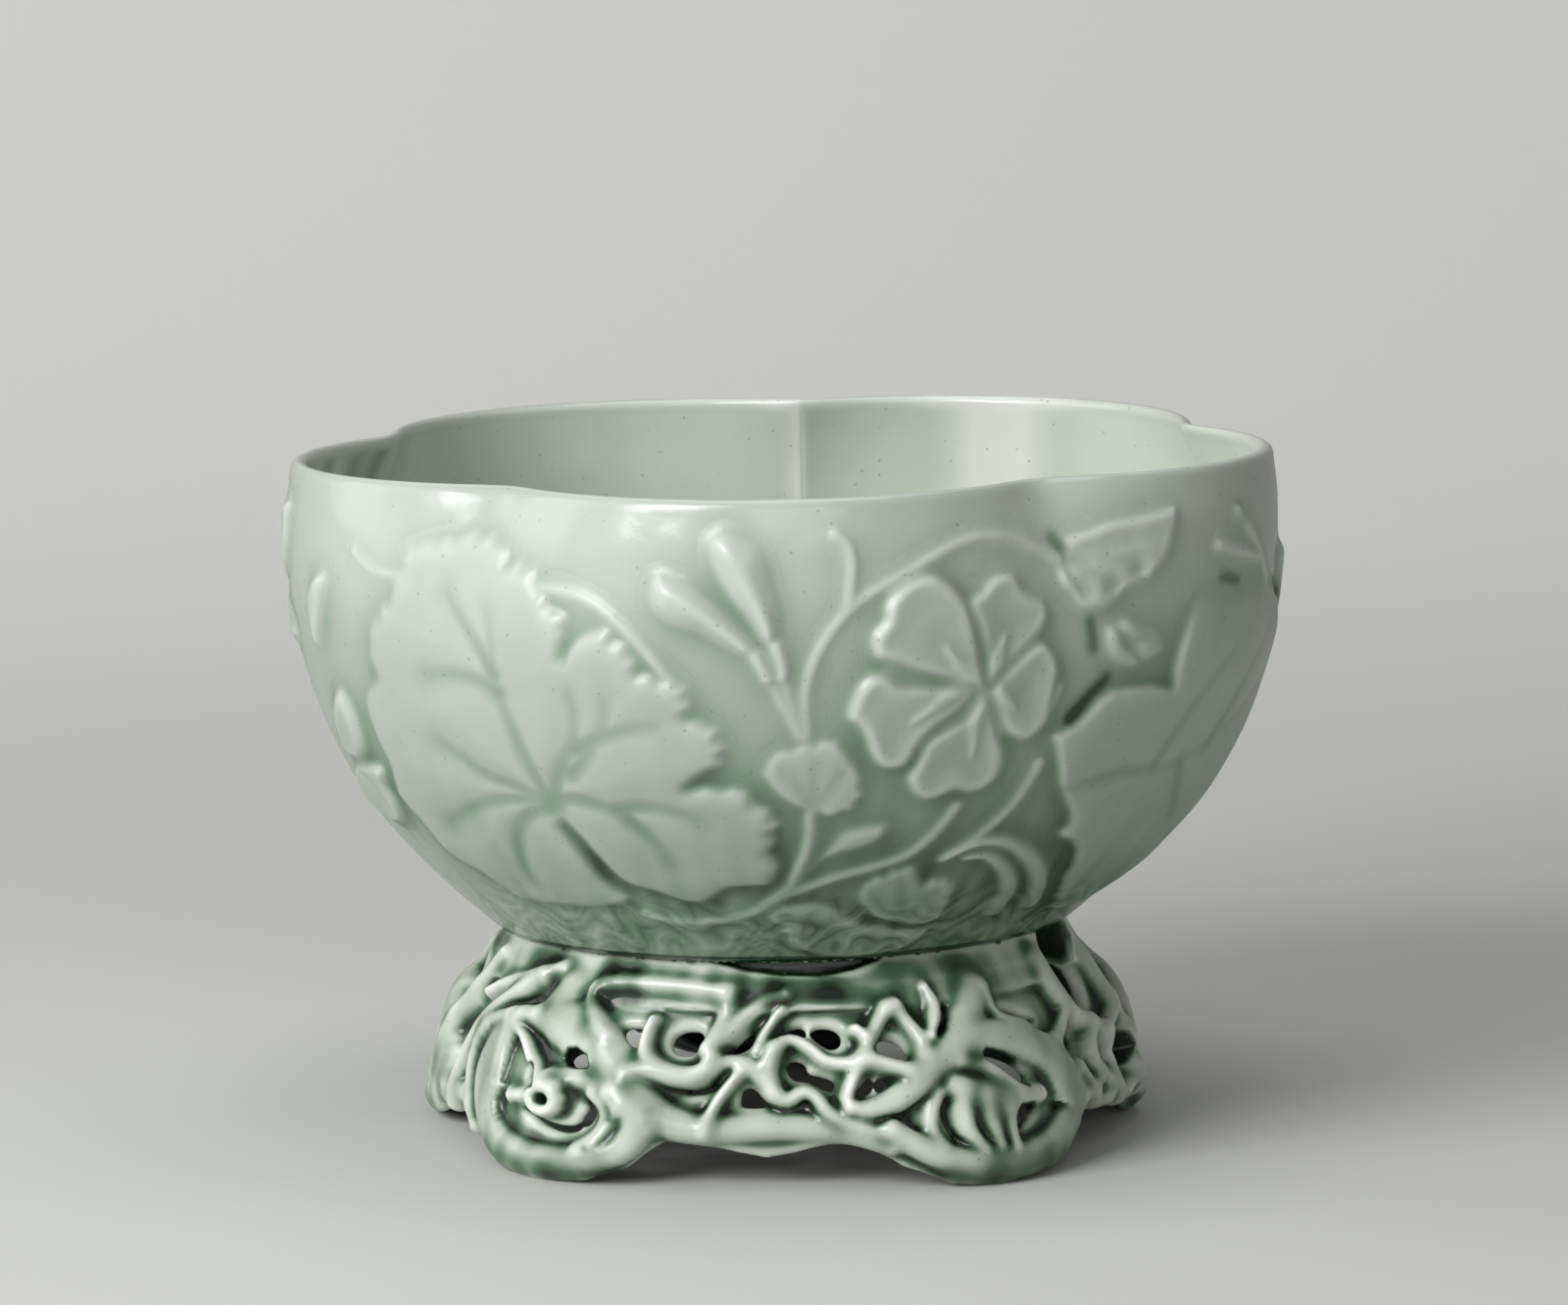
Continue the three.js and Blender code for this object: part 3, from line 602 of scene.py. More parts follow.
# Small leaves and pods: what a form doesn't say is taken from the plain form
plainForm = {"rim": 0, "swell": 0, "veinDepth": 0, "veinWidth": 1, "smooth": True, "veins": []}
smallForms = {
    "round_leaf": {
        "height": 1.5, "low": 1.0, "edge": 1.9, "rim": 0.1, "swell": 0.5, "veinDepth": 0.5,
        "veinWidth": 1.3, "smooth": False,
        "outline": [
            (777, 790), (783, 776), (790, 768), (799, 763), (807, 765), (815, 758), (826, 756), (832, 759),
            (838, 752), (846, 755), (854, 754), (861, 762), (866, 768), (870, 775), (876, 783), (881, 793),
            (879, 800), (883, 810), (878, 814), (873, 818), (872, 826), (867, 828), (860, 827), (853, 832),
            (842, 833), (836, 829), (829, 831), (817, 825), (803, 818), (790, 808)],
        "veins": [
            [(829, 828), (832, 800), (836, 775)], [(829, 826), (815, 800), (800, 784)],
            [(830, 826), (850, 800), (864, 784)]]},
    "small_leaf": {
        "height": 1.5, "low": 0.9, "edge": 3.0,
        "outline": [
            (906, 840), (892, 840), (872, 843), (857, 850), (846, 862), (835, 874), (822, 890), (830, 888),
            (842, 878), (862, 870), (881, 865), (897, 857), (906, 848)]},
    "foot_leaf_1": {
        "height": 1.4, "low": 1.0, "edge": 1.9, "rim": 0.1, "swell": 0.6, "veinDepth": 0.5,
        "veinWidth": 1.2, "smooth": False,
        "outline": [
            (873, 913), (877, 906), (881, 899), (887, 897), (892, 890), (903, 892), (909, 884), (918, 885),
            (926, 880), (934, 882), (937, 893), (941, 900), (946, 896), (953, 893), (960, 895), (965, 891),
            (970, 898), (975, 896), (972, 903), (974, 907), (968, 912), (969, 919), (963, 924), (963, 931),
            (955, 936), (945, 941), (925, 942), (905, 940), (888, 934), (882, 925), (876, 923)],
        "veins": [
            [(922, 940), (920, 915), (918, 895)], [(922, 938), (945, 915), (958, 902)],
            [(920, 938), (900, 920), (887, 908)]]},
    "foot_leaf_2": {
        "height": 1.4, "low": 1.0, "edge": 1.9, "rim": 0.1, "swell": 0.6, "veinDepth": 0.5,
        "veinWidth": 1.2, "smooth": False,
        "outline": [
            (781, 934), (790, 927), (800, 923), (820, 920), (840, 920), (856, 926), (868, 935), (890, 942),
            (912, 946), (935, 943), (948, 946), (938, 956), (920, 966), (892, 972), (860, 975), (838, 974),
            (822, 970), (812, 965), (804, 958), (808, 954), (795, 950), (800, 944), (788, 942)],
        "veins": [
            [(800, 934), (840, 944), (880, 954), (915, 956)], [(838, 943), (850, 958)],
            [(862, 949), (880, 966)]]},
    "seed_pod": {
        "height": 2.6, "low": 2.4, "edge": 4.0,
        "outline": [
            (346, 700), (354, 704), (364, 720), (372, 740), (378, 762), (377, 775), (370, 776), (360, 766),
            (350, 745), (343, 720)]},
    "slim_leaf": {
        "height": 2.3, "low": 2.2, "edge": 3.0,
        "outline": [
            (322, 588), (330, 582), (335, 590), (334, 612), (332, 640), (330, 662), (325, 655), (320, 630),
            (318, 605)]},
    "low_leaf": {
        "height": 2.2, "low": 2.0, "edge": 2.0, "rim": 0.3, "swell": 0.3, "veinDepth": 0.5,
        "veinWidth": 0.9,
        "outline": [
            (366, 778), (380, 776), (394, 782), (400, 800), (410, 818), (416, 836), (404, 834), (388, 820),
            (374, 802)],
        "veins": [[(372, 782), (390, 800), (412, 832)]]},
}


def makeSmallForm(kind, name, turn):
    values = {**plainForm, **smallForms[kind]}
    outline = onWall(values["outline"])
    if values["smooth"]:
        outline = curveThrough(outline, 4, True)
    outline = turned(outline, turn)
    veins = [wallCurve(vein, turn) for vein in values["veins"]]
    plot = plotAround(outline)
    layOn(name, plot, leafHeight(plot, outline, veins, values))


# Buds with a folded seam, on a knuckle of calyx
buds = {
    "seamHeight": 0.5, "seamWidth": 1.6, "knuckleSize": (2.1, 1.89, 1.9), "stemSize": (1.5, 1.3, 1.0),
    "height": 3.0, "edge": 6.0,
    "outlines": [
        [(664, 590), (672, 581), (686, 586), (708, 595), (730, 612), (752, 634), (768, 652), (776, 664),
         (773, 672), (756, 671), (735, 660), (712, 648), (688, 641), (669, 629), (661, 612)],
        [(721, 556), (725, 546), (736, 540), (750, 544), (766, 550), (779, 562), (786, 588), (793, 612),
         (798, 636), (796, 652), (789, 662), (776, 657), (760, 634), (740, 610), (727, 584)]],
    "seams": [
        [(684, 602), (714, 622), (742, 644), (764, 660)], [(744, 562), (760, 590), (776, 622), (786, 648)]],
    "knuckles": [[(772, 670), (780, 684), (784, 692)], [(792, 660), (798, 678), (799, 690)]],
    "stems": [
        [(784, 690), (796, 712), (807, 733), (816, 752)], [(799, 688), (806, 712), (813, 735), (820, 752)]],
}


def makeBuds(where, turn):
    name = "bud_pair_" + where
    for outline, seam in zip(buds["outlines"], buds["seams"]):
        edge = wallCurve(outline, turn, 3, True)
        plot = plotAround(edge)
        inside = insideBy(plot, edge)
        gap, _ = nearRoute(plot, wallCurve(seam, turn))
        height = buds["height"] * shoulder(inside, buds["edge"])
        height += buds["seamHeight"] * hill(gap, 0, buds["seamWidth"]) * (inside > 1)
        layOn(name, plot, np.where(inside > 0, height, 0))
    for routes, size in (("knuckles", "knuckleSize"), ("stems", "stemSize")):
        for route in buds[routes]:
            laySprigStem(name, route, *buds[size], turn)


stalks = {
    "width": 1.75, "height": 1.05,
    "arching_stalk": [
        [(824, 752), (822, 716), (826, 690), (835, 668), (848, 646), (866, 624), (887, 607), (908, 596),
         (928, 590), (948, 592)],
        [(866, 622), (869, 596), (870, 575), (865, 556), (852, 546)],
        [(905, 596), (930, 582), (956, 567), (980, 555), (1004, 549), (1035, 551), (1058, 560),
         (1080, 571)]],
    "low_stalk": [
        [(976, 822), (962, 840), (942, 860), (920, 874), (888, 885), (858, 893), (826, 904), (798, 914),
         (770, 930), (740, 937), (700, 940), (660, 932)],
        [(1060, 778), (1048, 799), (1031, 822), (1009, 843), (988, 859), (962, 875)],
        [(827, 830), (827, 849), (823, 868), (814, 888), (804, 906), (780, 922)],
        [(1052, 742), (1066, 726), (1080, 700)]],
}

# The curled tendril: crescents one inside the other
curls = {
    "height": 1.7,
    "arcs": [
        ([(966, 872), (984, 863), (1004, 857), (1026, 858), (1043, 868), (1054, 882), (1058, 900),
          (1051, 918)], 1.2, 3.2),
        ([(984, 874), (1004, 871), (1018, 879), (1027, 893), (1026, 908), (1014, 925)], 0.9, 3.4)],
}

# The flower in side view, with a ruffled lower edge
bell = {
    "foldDepth": 0.7, "foldWidth": 1.6, "dimpleDepth": 0.9, "dimpleWidth": 2.6, "least": 0.3, "height": 1.5,
    "edge": 2.2, "rim": 0.3, "dimples": [(1105, 603), (1133, 598), (1160, 580), (1086, 556)],
    "outline": [
        (1077, 572), (1086, 560), (1084, 548), (1092, 545), (1110, 541), (1128, 533), (1150, 528),
        (1172, 524), (1186, 520), (1197, 516), (1201, 520), (1198, 538), (1194, 555), (1189, 568),
        (1180, 580), (1172, 592), (1160, 597), (1148, 604), (1139, 614), (1126, 621), (1112, 622),
        (1100, 618), (1092, 606), (1083, 598), (1078, 586)],
    "folds": [
        [(1082, 570), (1110, 560), (1145, 553), (1180, 545)],
        [(1082, 572), (1104, 578), (1128, 590), (1150, 596)], [(1082, 574), (1092, 590), (1104, 606)],
        [(1082, 571), (1120, 570), (1160, 576)]],
}

bracts = {
    "foldDepth": 0.8, "foldWidth": 1.3, "least": 0.2, "height": 1.6, "edge": 3.0,
    "outline": [
        (1126, 640), (1136, 632), (1150, 630), (1166, 638), (1184, 644), (1190, 656), (1180, 668),
        (1166, 678), (1150, 682), (1134, 676), (1126, 662)],
    "folds": [[(1134, 634), (1148, 654), (1166, 678)], [(1148, 654), (1168, 650), (1188, 654)]],
}

# The trailing leaf that wraps round to the right, with its own rolled edge
trailingLeaf = {
    "stemSize": (1.6, 1.4, 1.3), "knobSize": (1.9, 4.2), "height": 2.4, "low": 1.5, "edge": 2.4, "rim": 0.5,
    "swell": 0.7, "veinDepth": 0.6, "veinWidth": 1.5, "fade": (150, 20),
    "outline": [
        (1070, 749), (1080, 745), (1092, 738), (1104, 728), (1118, 712), (1132, 703), (1150, 699),
        (1172, 697), (1192, 699), (1194, 680), (1200, 660), (1208, 640), (1216, 620), (1226, 602),
        (1240, 588), (1256, 580), (1272, 576), (1288, 574)],
    "stems": [
        [(1262, 520), (1274, 540), (1284, 562), (1290, 590)], [(1242, 556), (1262, 561), (1284, 566)]],
    "knob": [(352, 149), (354, 143), (352, 136)],
    "veins": [
        [(305, 100), (316, 104), (328, 104), (340, 112), (348, 120)], [(328, 104), (334, 90), (342, 82)],
        [(322, 104), (326, 118), (333, 132)], [(334, 106), (340, 124), (344, 136)]],
    "lower": [
        (1074, 760), (1077, 780), (1078, 798), (1083, 812), (1089, 828), (1088, 840), (1078, 846),
        (1080, 853), (1090, 856), (1094, 866), (1090, 880), (1080, 894), (1074, 910), (1068, 926)],
    "far": [(342, 146), (350, 140), (352, 124), (353, 108), (352, 90), (344, 74), (330, 66)],
}


def makeBell(where, turn):
    name = "bell_flower_" + where
    outline = wallCurve(bell["outline"], turn, 3, True)
    plot = plotAround(outline)
    inside = insideBy(plot, outline)
    height = bell["height"] * shoulder(inside, bell["edge"])
    height += bell["rim"] * hill(inside, 1, 1.1) * (inside > 0)
    for fold in bell["folds"]:
        gap, along = nearRoute(plot, wallCurve(fold, turn, 4))
        height -= bell["foldDepth"] * hill(gap, 0, bell["foldWidth"]) * (1 - 0.5 * along)
    for dimple in bell["dimples"]:
        spot = turned(onWall([dimple]), turn)[0]
        apart = ((plot.azimuth - spot[0]) * plot.degree) ** 2 + (plot.way - wayUp(spot[1])) ** 2
        height -= bell["dimpleDepth"] * np.exp(-apart / bell["dimpleWidth"] ** 2)
    layOn(name, plot, np.where(inside > 0, np.maximum(height, bell["least"]), 0))
    outline = wallCurve(bracts["outline"], turn, 3, True)
    plot = plotAround(outline)
    inside = insideBy(plot, outline)
    height = bracts["height"] * shoulder(inside, bracts["edge"])
    for fold in bracts["folds"]:
        gap, _ = nearRoute(plot, turned(onWall(fold), turn))
        height -= bracts["foldDepth"] * hill(gap, 0, bracts["foldWidth"])
    layOn(name, plot, np.where(inside > 0, np.maximum(height, bracts["least"]), 0))


def makeTrailingLeaf(where, turn):
    # round the far side, out of the picture, the outline goes on in degrees past the picture's last point
    start = onWall(trailingLeaf["outline"])
    low = onWall(trailingLeaf["lower"])
    outline = turned(np.concatenate([start, trailingLeaf["far"], low[::-1]]), turn)
    veins = [turned(curveThrough(vein, 3), turn) for vein in trailingLeaf["veins"]]
    plot = plotAround(outline)
    top, drop = trailingLeaf["fade"]
    fade = smooth((wayUp(top) - plot.way) / drop)
    name = "trailing_leaf_" + where
    layOn(name, plot, leafHeight(plot, outline, veins, trailingLeaf) * fade)
    for route in trailingLeaf["stems"]:
        laySprigStem(name, route, *trailingLeaf["stemSize"], turn)
    knob = turned(curveThrough(trailingLeaf["knob"], 4), turn)
    plot = plotAround(knob)
    gap, _ = nearRoute(plot, knob)
    height, half = trailingLeaf["knobSize"]
    layOn(name, plot, height * np.sqrt(np.clip(1 - (gap / half) ** 2, 0, 1)))


groups = {"front": 0, "back": 144, "left": -127}
for where, turn in groups.items():
    if where != "left":
        makeBroadLeaf(where, turn)
        makeTrailingLeaf(where, turn)
        makeSmallForm("small_leaf", "small_leaf_" + where, turn)
        makeBuds(where, turn)
        for route, startWidth, endWidth in curls["arcs"]:
            laySprigStem("curled_tendril_" + where, route, startWidth, endWidth, curls["height"], turn)
    makeBlossom(where, turn)
    makeBell(where, turn)
    makeSmallForm("round_leaf", "round_leaf_" + where, turn)
    for number in ("1", "2"):
        makeSmallForm("foot_leaf_" + number, "foot_leaf_" + where + "_" + number, turn)
    for stalk in ("arching_stalk", "low_stalk"):
        for route in stalks[stalk]:
            laySprigStem(stalk + "_" + where, route, stalks["width"], stalks["width"], stalks["height"], turn)
for kind in ("seed_pod", "slim_leaf", "low_leaf"):
    makeSmallForm(kind, kind + "_left", 0)
print("sprigs laid on the wall:", len(sprigNames))


def blurWeights(size, step):
    reach = int(3 * size / step) + 1
    weights = np.exp(-0.5 * (np.arange(-reach, reach + 1) * step / size) ** 2)
    return reach, weights / weights.sum()


def soften(field, size):
    # a blur of that size in mm over the unrolled wall
    spread = size / (rowDegrees * columnStep)
    waves = np.fft.rfftfreq(relief["columns"])
    damping = np.exp(-2 * (math.pi * waves[None] * spread[:, None]) ** 2)
    field = np.fft.irfft(np.fft.rfft(field, axis=1) * damping, n=relief["columns"], axis=1)
    reach, weights = blurWeights(size, relief["step"])
    padded = np.pad(field, ((reach, reach), (0, 0)), mode="edge")
    return sum(w * padded[i:i + len(field)] for i, w in enumerate(weights))


# Green glaze that gathered in slits and hollows, as routes in the picture with half widths in mm
greenPools = [
    ([(1090, 733), (1110, 710), (1128, 692)], 1.9), ([(1112, 634), (1115, 662)], 1.6),
    ([(1072, 548), (1080, 560)], 2.0), ([(1246, 588), (1262, 592)], 1.5),
    ([(1298, 590), (1301, 606)], 1.6), ([(1262, 516), (1268, 530)], 1.5)]
gathered = np.zeros(wallRelief.shape)
for turn in (groups["front"], groups["back"]):
    for route, width in greenPools:
        path = wallCurve(route, turn)
        plot = plotAround(path)
        gap, _ = nearRoute(plot, path)
        cells = wallCells(plot)
        gathered[cells] = np.maximum(gathered[cells], np.exp(-(gap / width) ** 4))


def streaks(azimuth, height, seed, fewest, most, slope):
    # uneven runs of glaze down a wall, about -1 to 1
    random = np.random.default_rng(seed)
    waves = random.integers(fewest, most, 26)
    phases, slants = random.uniform(0, math.tau, 26), random.uniform(-slope, slope, 26)
    total = 0
    for wave, phase, slant in zip(waves, phases, slants):
        total = total + np.cos(np.radians(azimuth) * wave + phase + slant * height)
    return total / 5


# How the glaze lies on the wall: deeper in hollows and thin over edges; darker low down and paler near the
# rim, partly from the glaze and partly as painted shade and light, as the lower wall faces away from the
# lamps
flow = {
    "hollow": 1.6, "broad": 5.0, "lowTop": 128, "lowDrop": 48, "swirlPitch": 0.8, "warp": 6.0, "drift": 2.0,
    "sharpness": 5, "runs": 0.05, "swirl": 0.2, "swirlTop": 79, "swirlDrop": 12, "reliefHeight": 1.2,
    "reliefLow": 64, "reliefRise": 24, "shadeOnRight": 0.18, "shadeOnRightAt": 262, "body": 0.2, "bodyTop": 160,
    "bodyDrop": 32, "bodyThin": 0.25, "low": 0.37, "lowThin": 0.55, "inHollow": 0.55, "inBroad": 0.32,
    "gathered": 0.6, "gatheredBlur": 0.8, "crest": 0.5, "crestLow": 0.2, "crestFull": 0.7, "rim": 0.09,
    "rimLow": 146, "rimRise": 24,
}
melted = soften(wallRelief, relief["melt"])
melted += relief["fill"] * np.clip(soften(melted, relief["fillWidth"]) - melted, 0, None)
melted = np.clip(melted, 0, None)
hollow = soften(melted, flow["hollow"]) - melted
broadHollow = soften(melted, flow["broad"]) - melted
wallTurn, wallWay = np.meshgrid(np.arange(relief["columns"]) * columnStep, rowWays)
drift = streaks(wallTurn, wallWay, 9, 10, 60, 0.5)
bends = flow["swirlPitch"] * wallWay + flow["warp"] * streaks(wallTurn, wallWay, 8, 4, 30, 0.12)
swirl = np.cos(bends + flow["drift"] * drift) ** flow["sharpness"]


def below(top, drop):
    # 0 above that height on the wall, 1 once the wall has dropped that far below it
    return smooth((top - rowHeights) / drop)[:, None]


# darker low down: partly thicker glaze, partly painted shade on the lower wall
lowPoolAndShade = below(flow["lowTop"], flow["lowDrop"])
runs = flow["runs"] * streaks(wallTurn, wallWay, 5, 20, 110, 0.2)
runs = runs + flow["swirl"] * swirl * below(flow["swirlTop"], flow["swirlDrop"])
onRelief = np.clip(melted / flow["reliefHeight"], 0, 1)
onRelief = onRelief * smooth((rowHeights - flow["reliefLow"]) / flow["reliefRise"])[:, None]
# painted shade and light: low down, the wall is darker on its right, away from the lamps, and lighter on its
# left
shadeOnRight = flow["shadeOnRight"] * np.sin(np.radians(wallTurn - flow["shadeOnRightAt"]))
# the body colour deepens below the upper wall, partly as painted shade
poolField = flow["body"] * below(flow["bodyTop"], flow["bodyDrop"]) * (1 - flow["bodyThin"] * onRelief)
poolField += (flow["low"] + runs + shadeOnRight) * lowPoolAndShade * (1 - flow["lowThin"] * onRelief)
poolField += flow["inHollow"] * np.clip(hollow, 0, None) + flow["inBroad"] * np.clip(broadHollow, 0, None)
poolField = np.clip(poolField + flow["gathered"] * soften(gathered, flow["gatheredBlur"]), 0, 1)
crestField = np.clip(-hollow / flow["crestFull"], 0, 1) * (flow["crest"] - flow["crestLow"] * lowPoolAndShade)
# paler towards the rim: partly thin glaze, partly painted light on the upper wall
nearRim = flow["rim"] * smooth((rowHeights - flow["rimLow"]) / flow["rimRise"])[:, None]
crestField = np.clip(crestField + nearRim, 0, 1)

# Cells of the field by sprig, grown out over the melted margin
owners = wallOwner.copy()
for _ in range(10):
    for shift, side in ((1, 0), (-1, 0), (1, 1), (-1, 1)):
        owners = np.where(owners < 0, np.roll(owners, shift, side), owners)
nextRow = np.roll(melted, -1, 0)
quadLow = np.minimum.reduce([melted, np.roll(melted, -1, 1), nextRow, np.roll(nextRow, -1, 1)])
quadOwner = np.where(quadLow > relief["least"], owners, -1)[:-1]
for _ in range(6):
    # no two cells of one sprig may touch at a corner only
    for flip in (1, -1):
        beside, above = np.roll(quadOwner, -flip, 1), np.roll(quadOwner, -1, 0)
        across = np.roll(beside, -1, 0)
        pinched = (quadOwner == across) & (quadOwner >= 0) & (beside != quadOwner) & (above != quadOwner)
        pinched[-1] = False
        quadOwner = np.where(np.roll(pinched, flip, 1), np.roll(quadOwner, flip, 1), quadOwner)

gridAzimuth, gridHeight = np.meshgrid(np.arange(relief["columns"]) * columnStep, rowHeights)
wallPoints = toFrame(raised(wallRadius, gridAzimuth, gridHeight, np.maximum(melted, relief["least"])))
rootPoints = toFrame(raised(wallRadius, gridAzimuth, gridHeight, np.full(melted.shape, -relief["root"])))
acrossWall = np.roll(wallPoints, -1, 1) - np.roll(wallPoints, 1, 1)
wallNormals = unit(np.cross(acrossWall, np.gradient(wallPoints, axis=0)))


def patchFaces(mask):
    # faces over the cells of a mask, and the edges round them; nodes are numbered by row and column
    width = mask.shape[1] + 1
    i, j = np.nonzero(mask)
    a, b, c, d = i * width + j, i * width + j + 1, (i + 1) * width + j + 1, (i + 1) * width + j
    padded = np.pad(mask, 1)
    outer = [~padded[i, j + 1], ~padded[i + 1, j + 2], ~padded[i + 2, j + 1], ~padded[i + 1, j]]
    rim = [np.stack([s[o], e[o]], 1) for (s, e), o in zip(((a, b), (b, c), (c, d), (d, a)), outer)]
    return np.stack([a, b, c, d], 1), np.concatenate(rim)


def coarseUnderside(mask, block):
    # the same cells seen from below, whole blocks of them joined into one face
    rows, columns = mask.shape
    width = columns + 1
    down, over = rows // block, columns // block
    whole = np.zeros((down + 2, over + 2), bool)
    inner = mask[:down * block, :over * block].reshape(down, block, over, block).all((1, 3))
    whole[1:-1, 1:-1] = inner
    faces = []
    steps = range(block)
    for p, q in zip(*np.nonzero(inner)):
        r, c = p * block, q * block
        sides = [([(r, c + k) for k in steps], whole[p, q + 1]),
                 ([(r + k, c + block) for k in steps], whole[p + 1, q + 2]),
                 ([(r + block, c + block - k) for k in steps], whole[p + 2, q + 1]),
                 ([(r + block - k, c) for k in steps], whole[p + 1, q])]
        loop = []
        for nodes, joined in sides:
            loop += nodes[:1] if joined else nodes
        faces.append([u * width + v for u, v in reversed(loop)])
    rest = mask.copy()
    rest[:down * block, :over * block] &= ~np.repeat(np.repeat(inner, block, 0), block, 1)
    i, j = np.nonzero(rest)
    single = np.stack([(i + 1) * width + j, (i + 1) * width + j + 1, i * width + j + 1, i * width + j], 1)
    return faces, single


def makeReliefPiece(number, name):
    low, high, first, last = sprigSpans[number]
    low, high = max(low - relief["rowMargin"], 0), min(high + relief["rowMargin"], len(rowHeights) - 2)
    first, last = first - relief["columnMargin"], last + relief["columnMargin"]
    columns = np.arange(first, last + 2) % relief["columns"]
    mask = quadOwner[low:high + 1][:, columns[:-1]] == number
    top, rim = patchFaces(mask)
    blocks, single = coarseUnderside(mask, relief["block"])
    cells = np.ix_(np.arange(low, high + 2), columns)
    count = (high + 2 - low) * len(columns)
    faces = list(map(tuple, top)) + [(e, s, s + count, e + count) for s, e in rim]
    faces += [tuple(v + count for v in face) for face in [*blocks, *single]]
    used = np.unique(np.concatenate([np.asarray(face) for face in faces]))
    renumber = np.full(2 * count, -1)
    renumber[used] = np.arange(len(used))
    places = np.concatenate([field[cells].reshape(-1, 3) for field in (wallPoints, rootPoints)])[used]
    normals = wallNormals[cells].reshape(-1, 3)
    mesh = addMesh("glazed_" + name, places.tolist(), [tuple(renumber[list(face)]) for face in faces],
                   np.concatenate([normals, -normals])[used])
    pool, crest = (np.tile(field[cells].ravel(), 2)[used] for field in (poolField, crestField))
    addValues(mesh, pool=pool, crest=crest)
    addPiece("glazed_" + name, mesh, materials["sprig"], [name])


for number, name in enumerate(sprigNames):
    makeReliefPiece(number, name)
print("sprigs cut from the relief")



# The bowl's wall is made by its rule: a profile swept round, drawn in at the creases
def bowlProfile():
    lipHeight = bowl["rim"] - bowl["lipRadius"]
    ways = np.linspace(0, wayUp(lipHeight), int(wayUp(lipHeight) / bowl["outerStep"]))
    points = [(r, bowl["base"]) for r in bowl["baseRings"]]
    points += [(fullRadius(z), z) for z in np.interp(ways, wayTable, heightTable)]
    lipMiddle = fullRadius(bowl["rim"]) - bowl["lipRadius"]
    points += [(lipMiddle + bowl["lipRadius"] * math.cos(t), lipHeight + bowl["lipRadius"] * math.sin(t))
               for t in np.radians(np.arange(bowl["lipTurn"], 180, bowl["lipTurn"]))]
    filletTop = bowl["base"] + bowl["floor"] + bowl["fillet"]
    lip = 2 * bowl["lipRadius"]
    for z in np.arange(lipHeight, filletTop, -bowl["innerStep"]):
        thickness = lip + (bowl["wall"] - lip) * smooth((lipHeight - z) / bowl["lipFade"])
        points.append((fullRadius(z) - thickness, z))
    for t in np.radians(np.arange(0, 91, bowl["filletTurn"])):
        z = filletTop - bowl["fillet"] * math.sin(t)
        points.append((fullRadius(z) - bowl["wall"] - bowl["filletReach"] * (1 - math.cos(t)), z))
    return points + [(r, bowl["base"] + bowl["floor"]) for r in bowl["floorRings"]]


def endShape(tree, given, shape, made):
    # the plain, smooth and painted mesh at the end of a node tree
    real = result(tree, "GeometryNodeRealizeInstances", {"Geometry": shape})
    shaded = result(tree, "GeometryNodeSetShadeSmooth", {"Geometry": real})
    painted = result(tree, "GeometryNodeSetMaterial", {"Geometry": shaded, "Material": given["Material"]})
    tree.links.new(painted, made["Geometry"])
    return tree


lobedInputs = {
    "Geometry": {"Geometry": None}, "Material": {"Material": materials["bowl"]},
    "Vector": {"Axis": tuple(axis)}, "Int": {"Columns": bowl["columns"]},
    "Float": {
        "Lobes": float(bowl["lobes"]), "Crowding": bowl["crowding"], "Front Lobe": bowl["frontLobe"],
        "Lobe Depth": bowl["lobeDepth"], "Crease Bottom": bowl["creaseBottom"], "Lean": bowl["lean"],
        "Crease Fade": bowl["creaseFade"], "Crease Round": bowl["creaseRound"], "Rim Height": bowl["rim"],
        "Base Height": bowl["base"], "Base Radius": bowl["baseRadius"]},
}


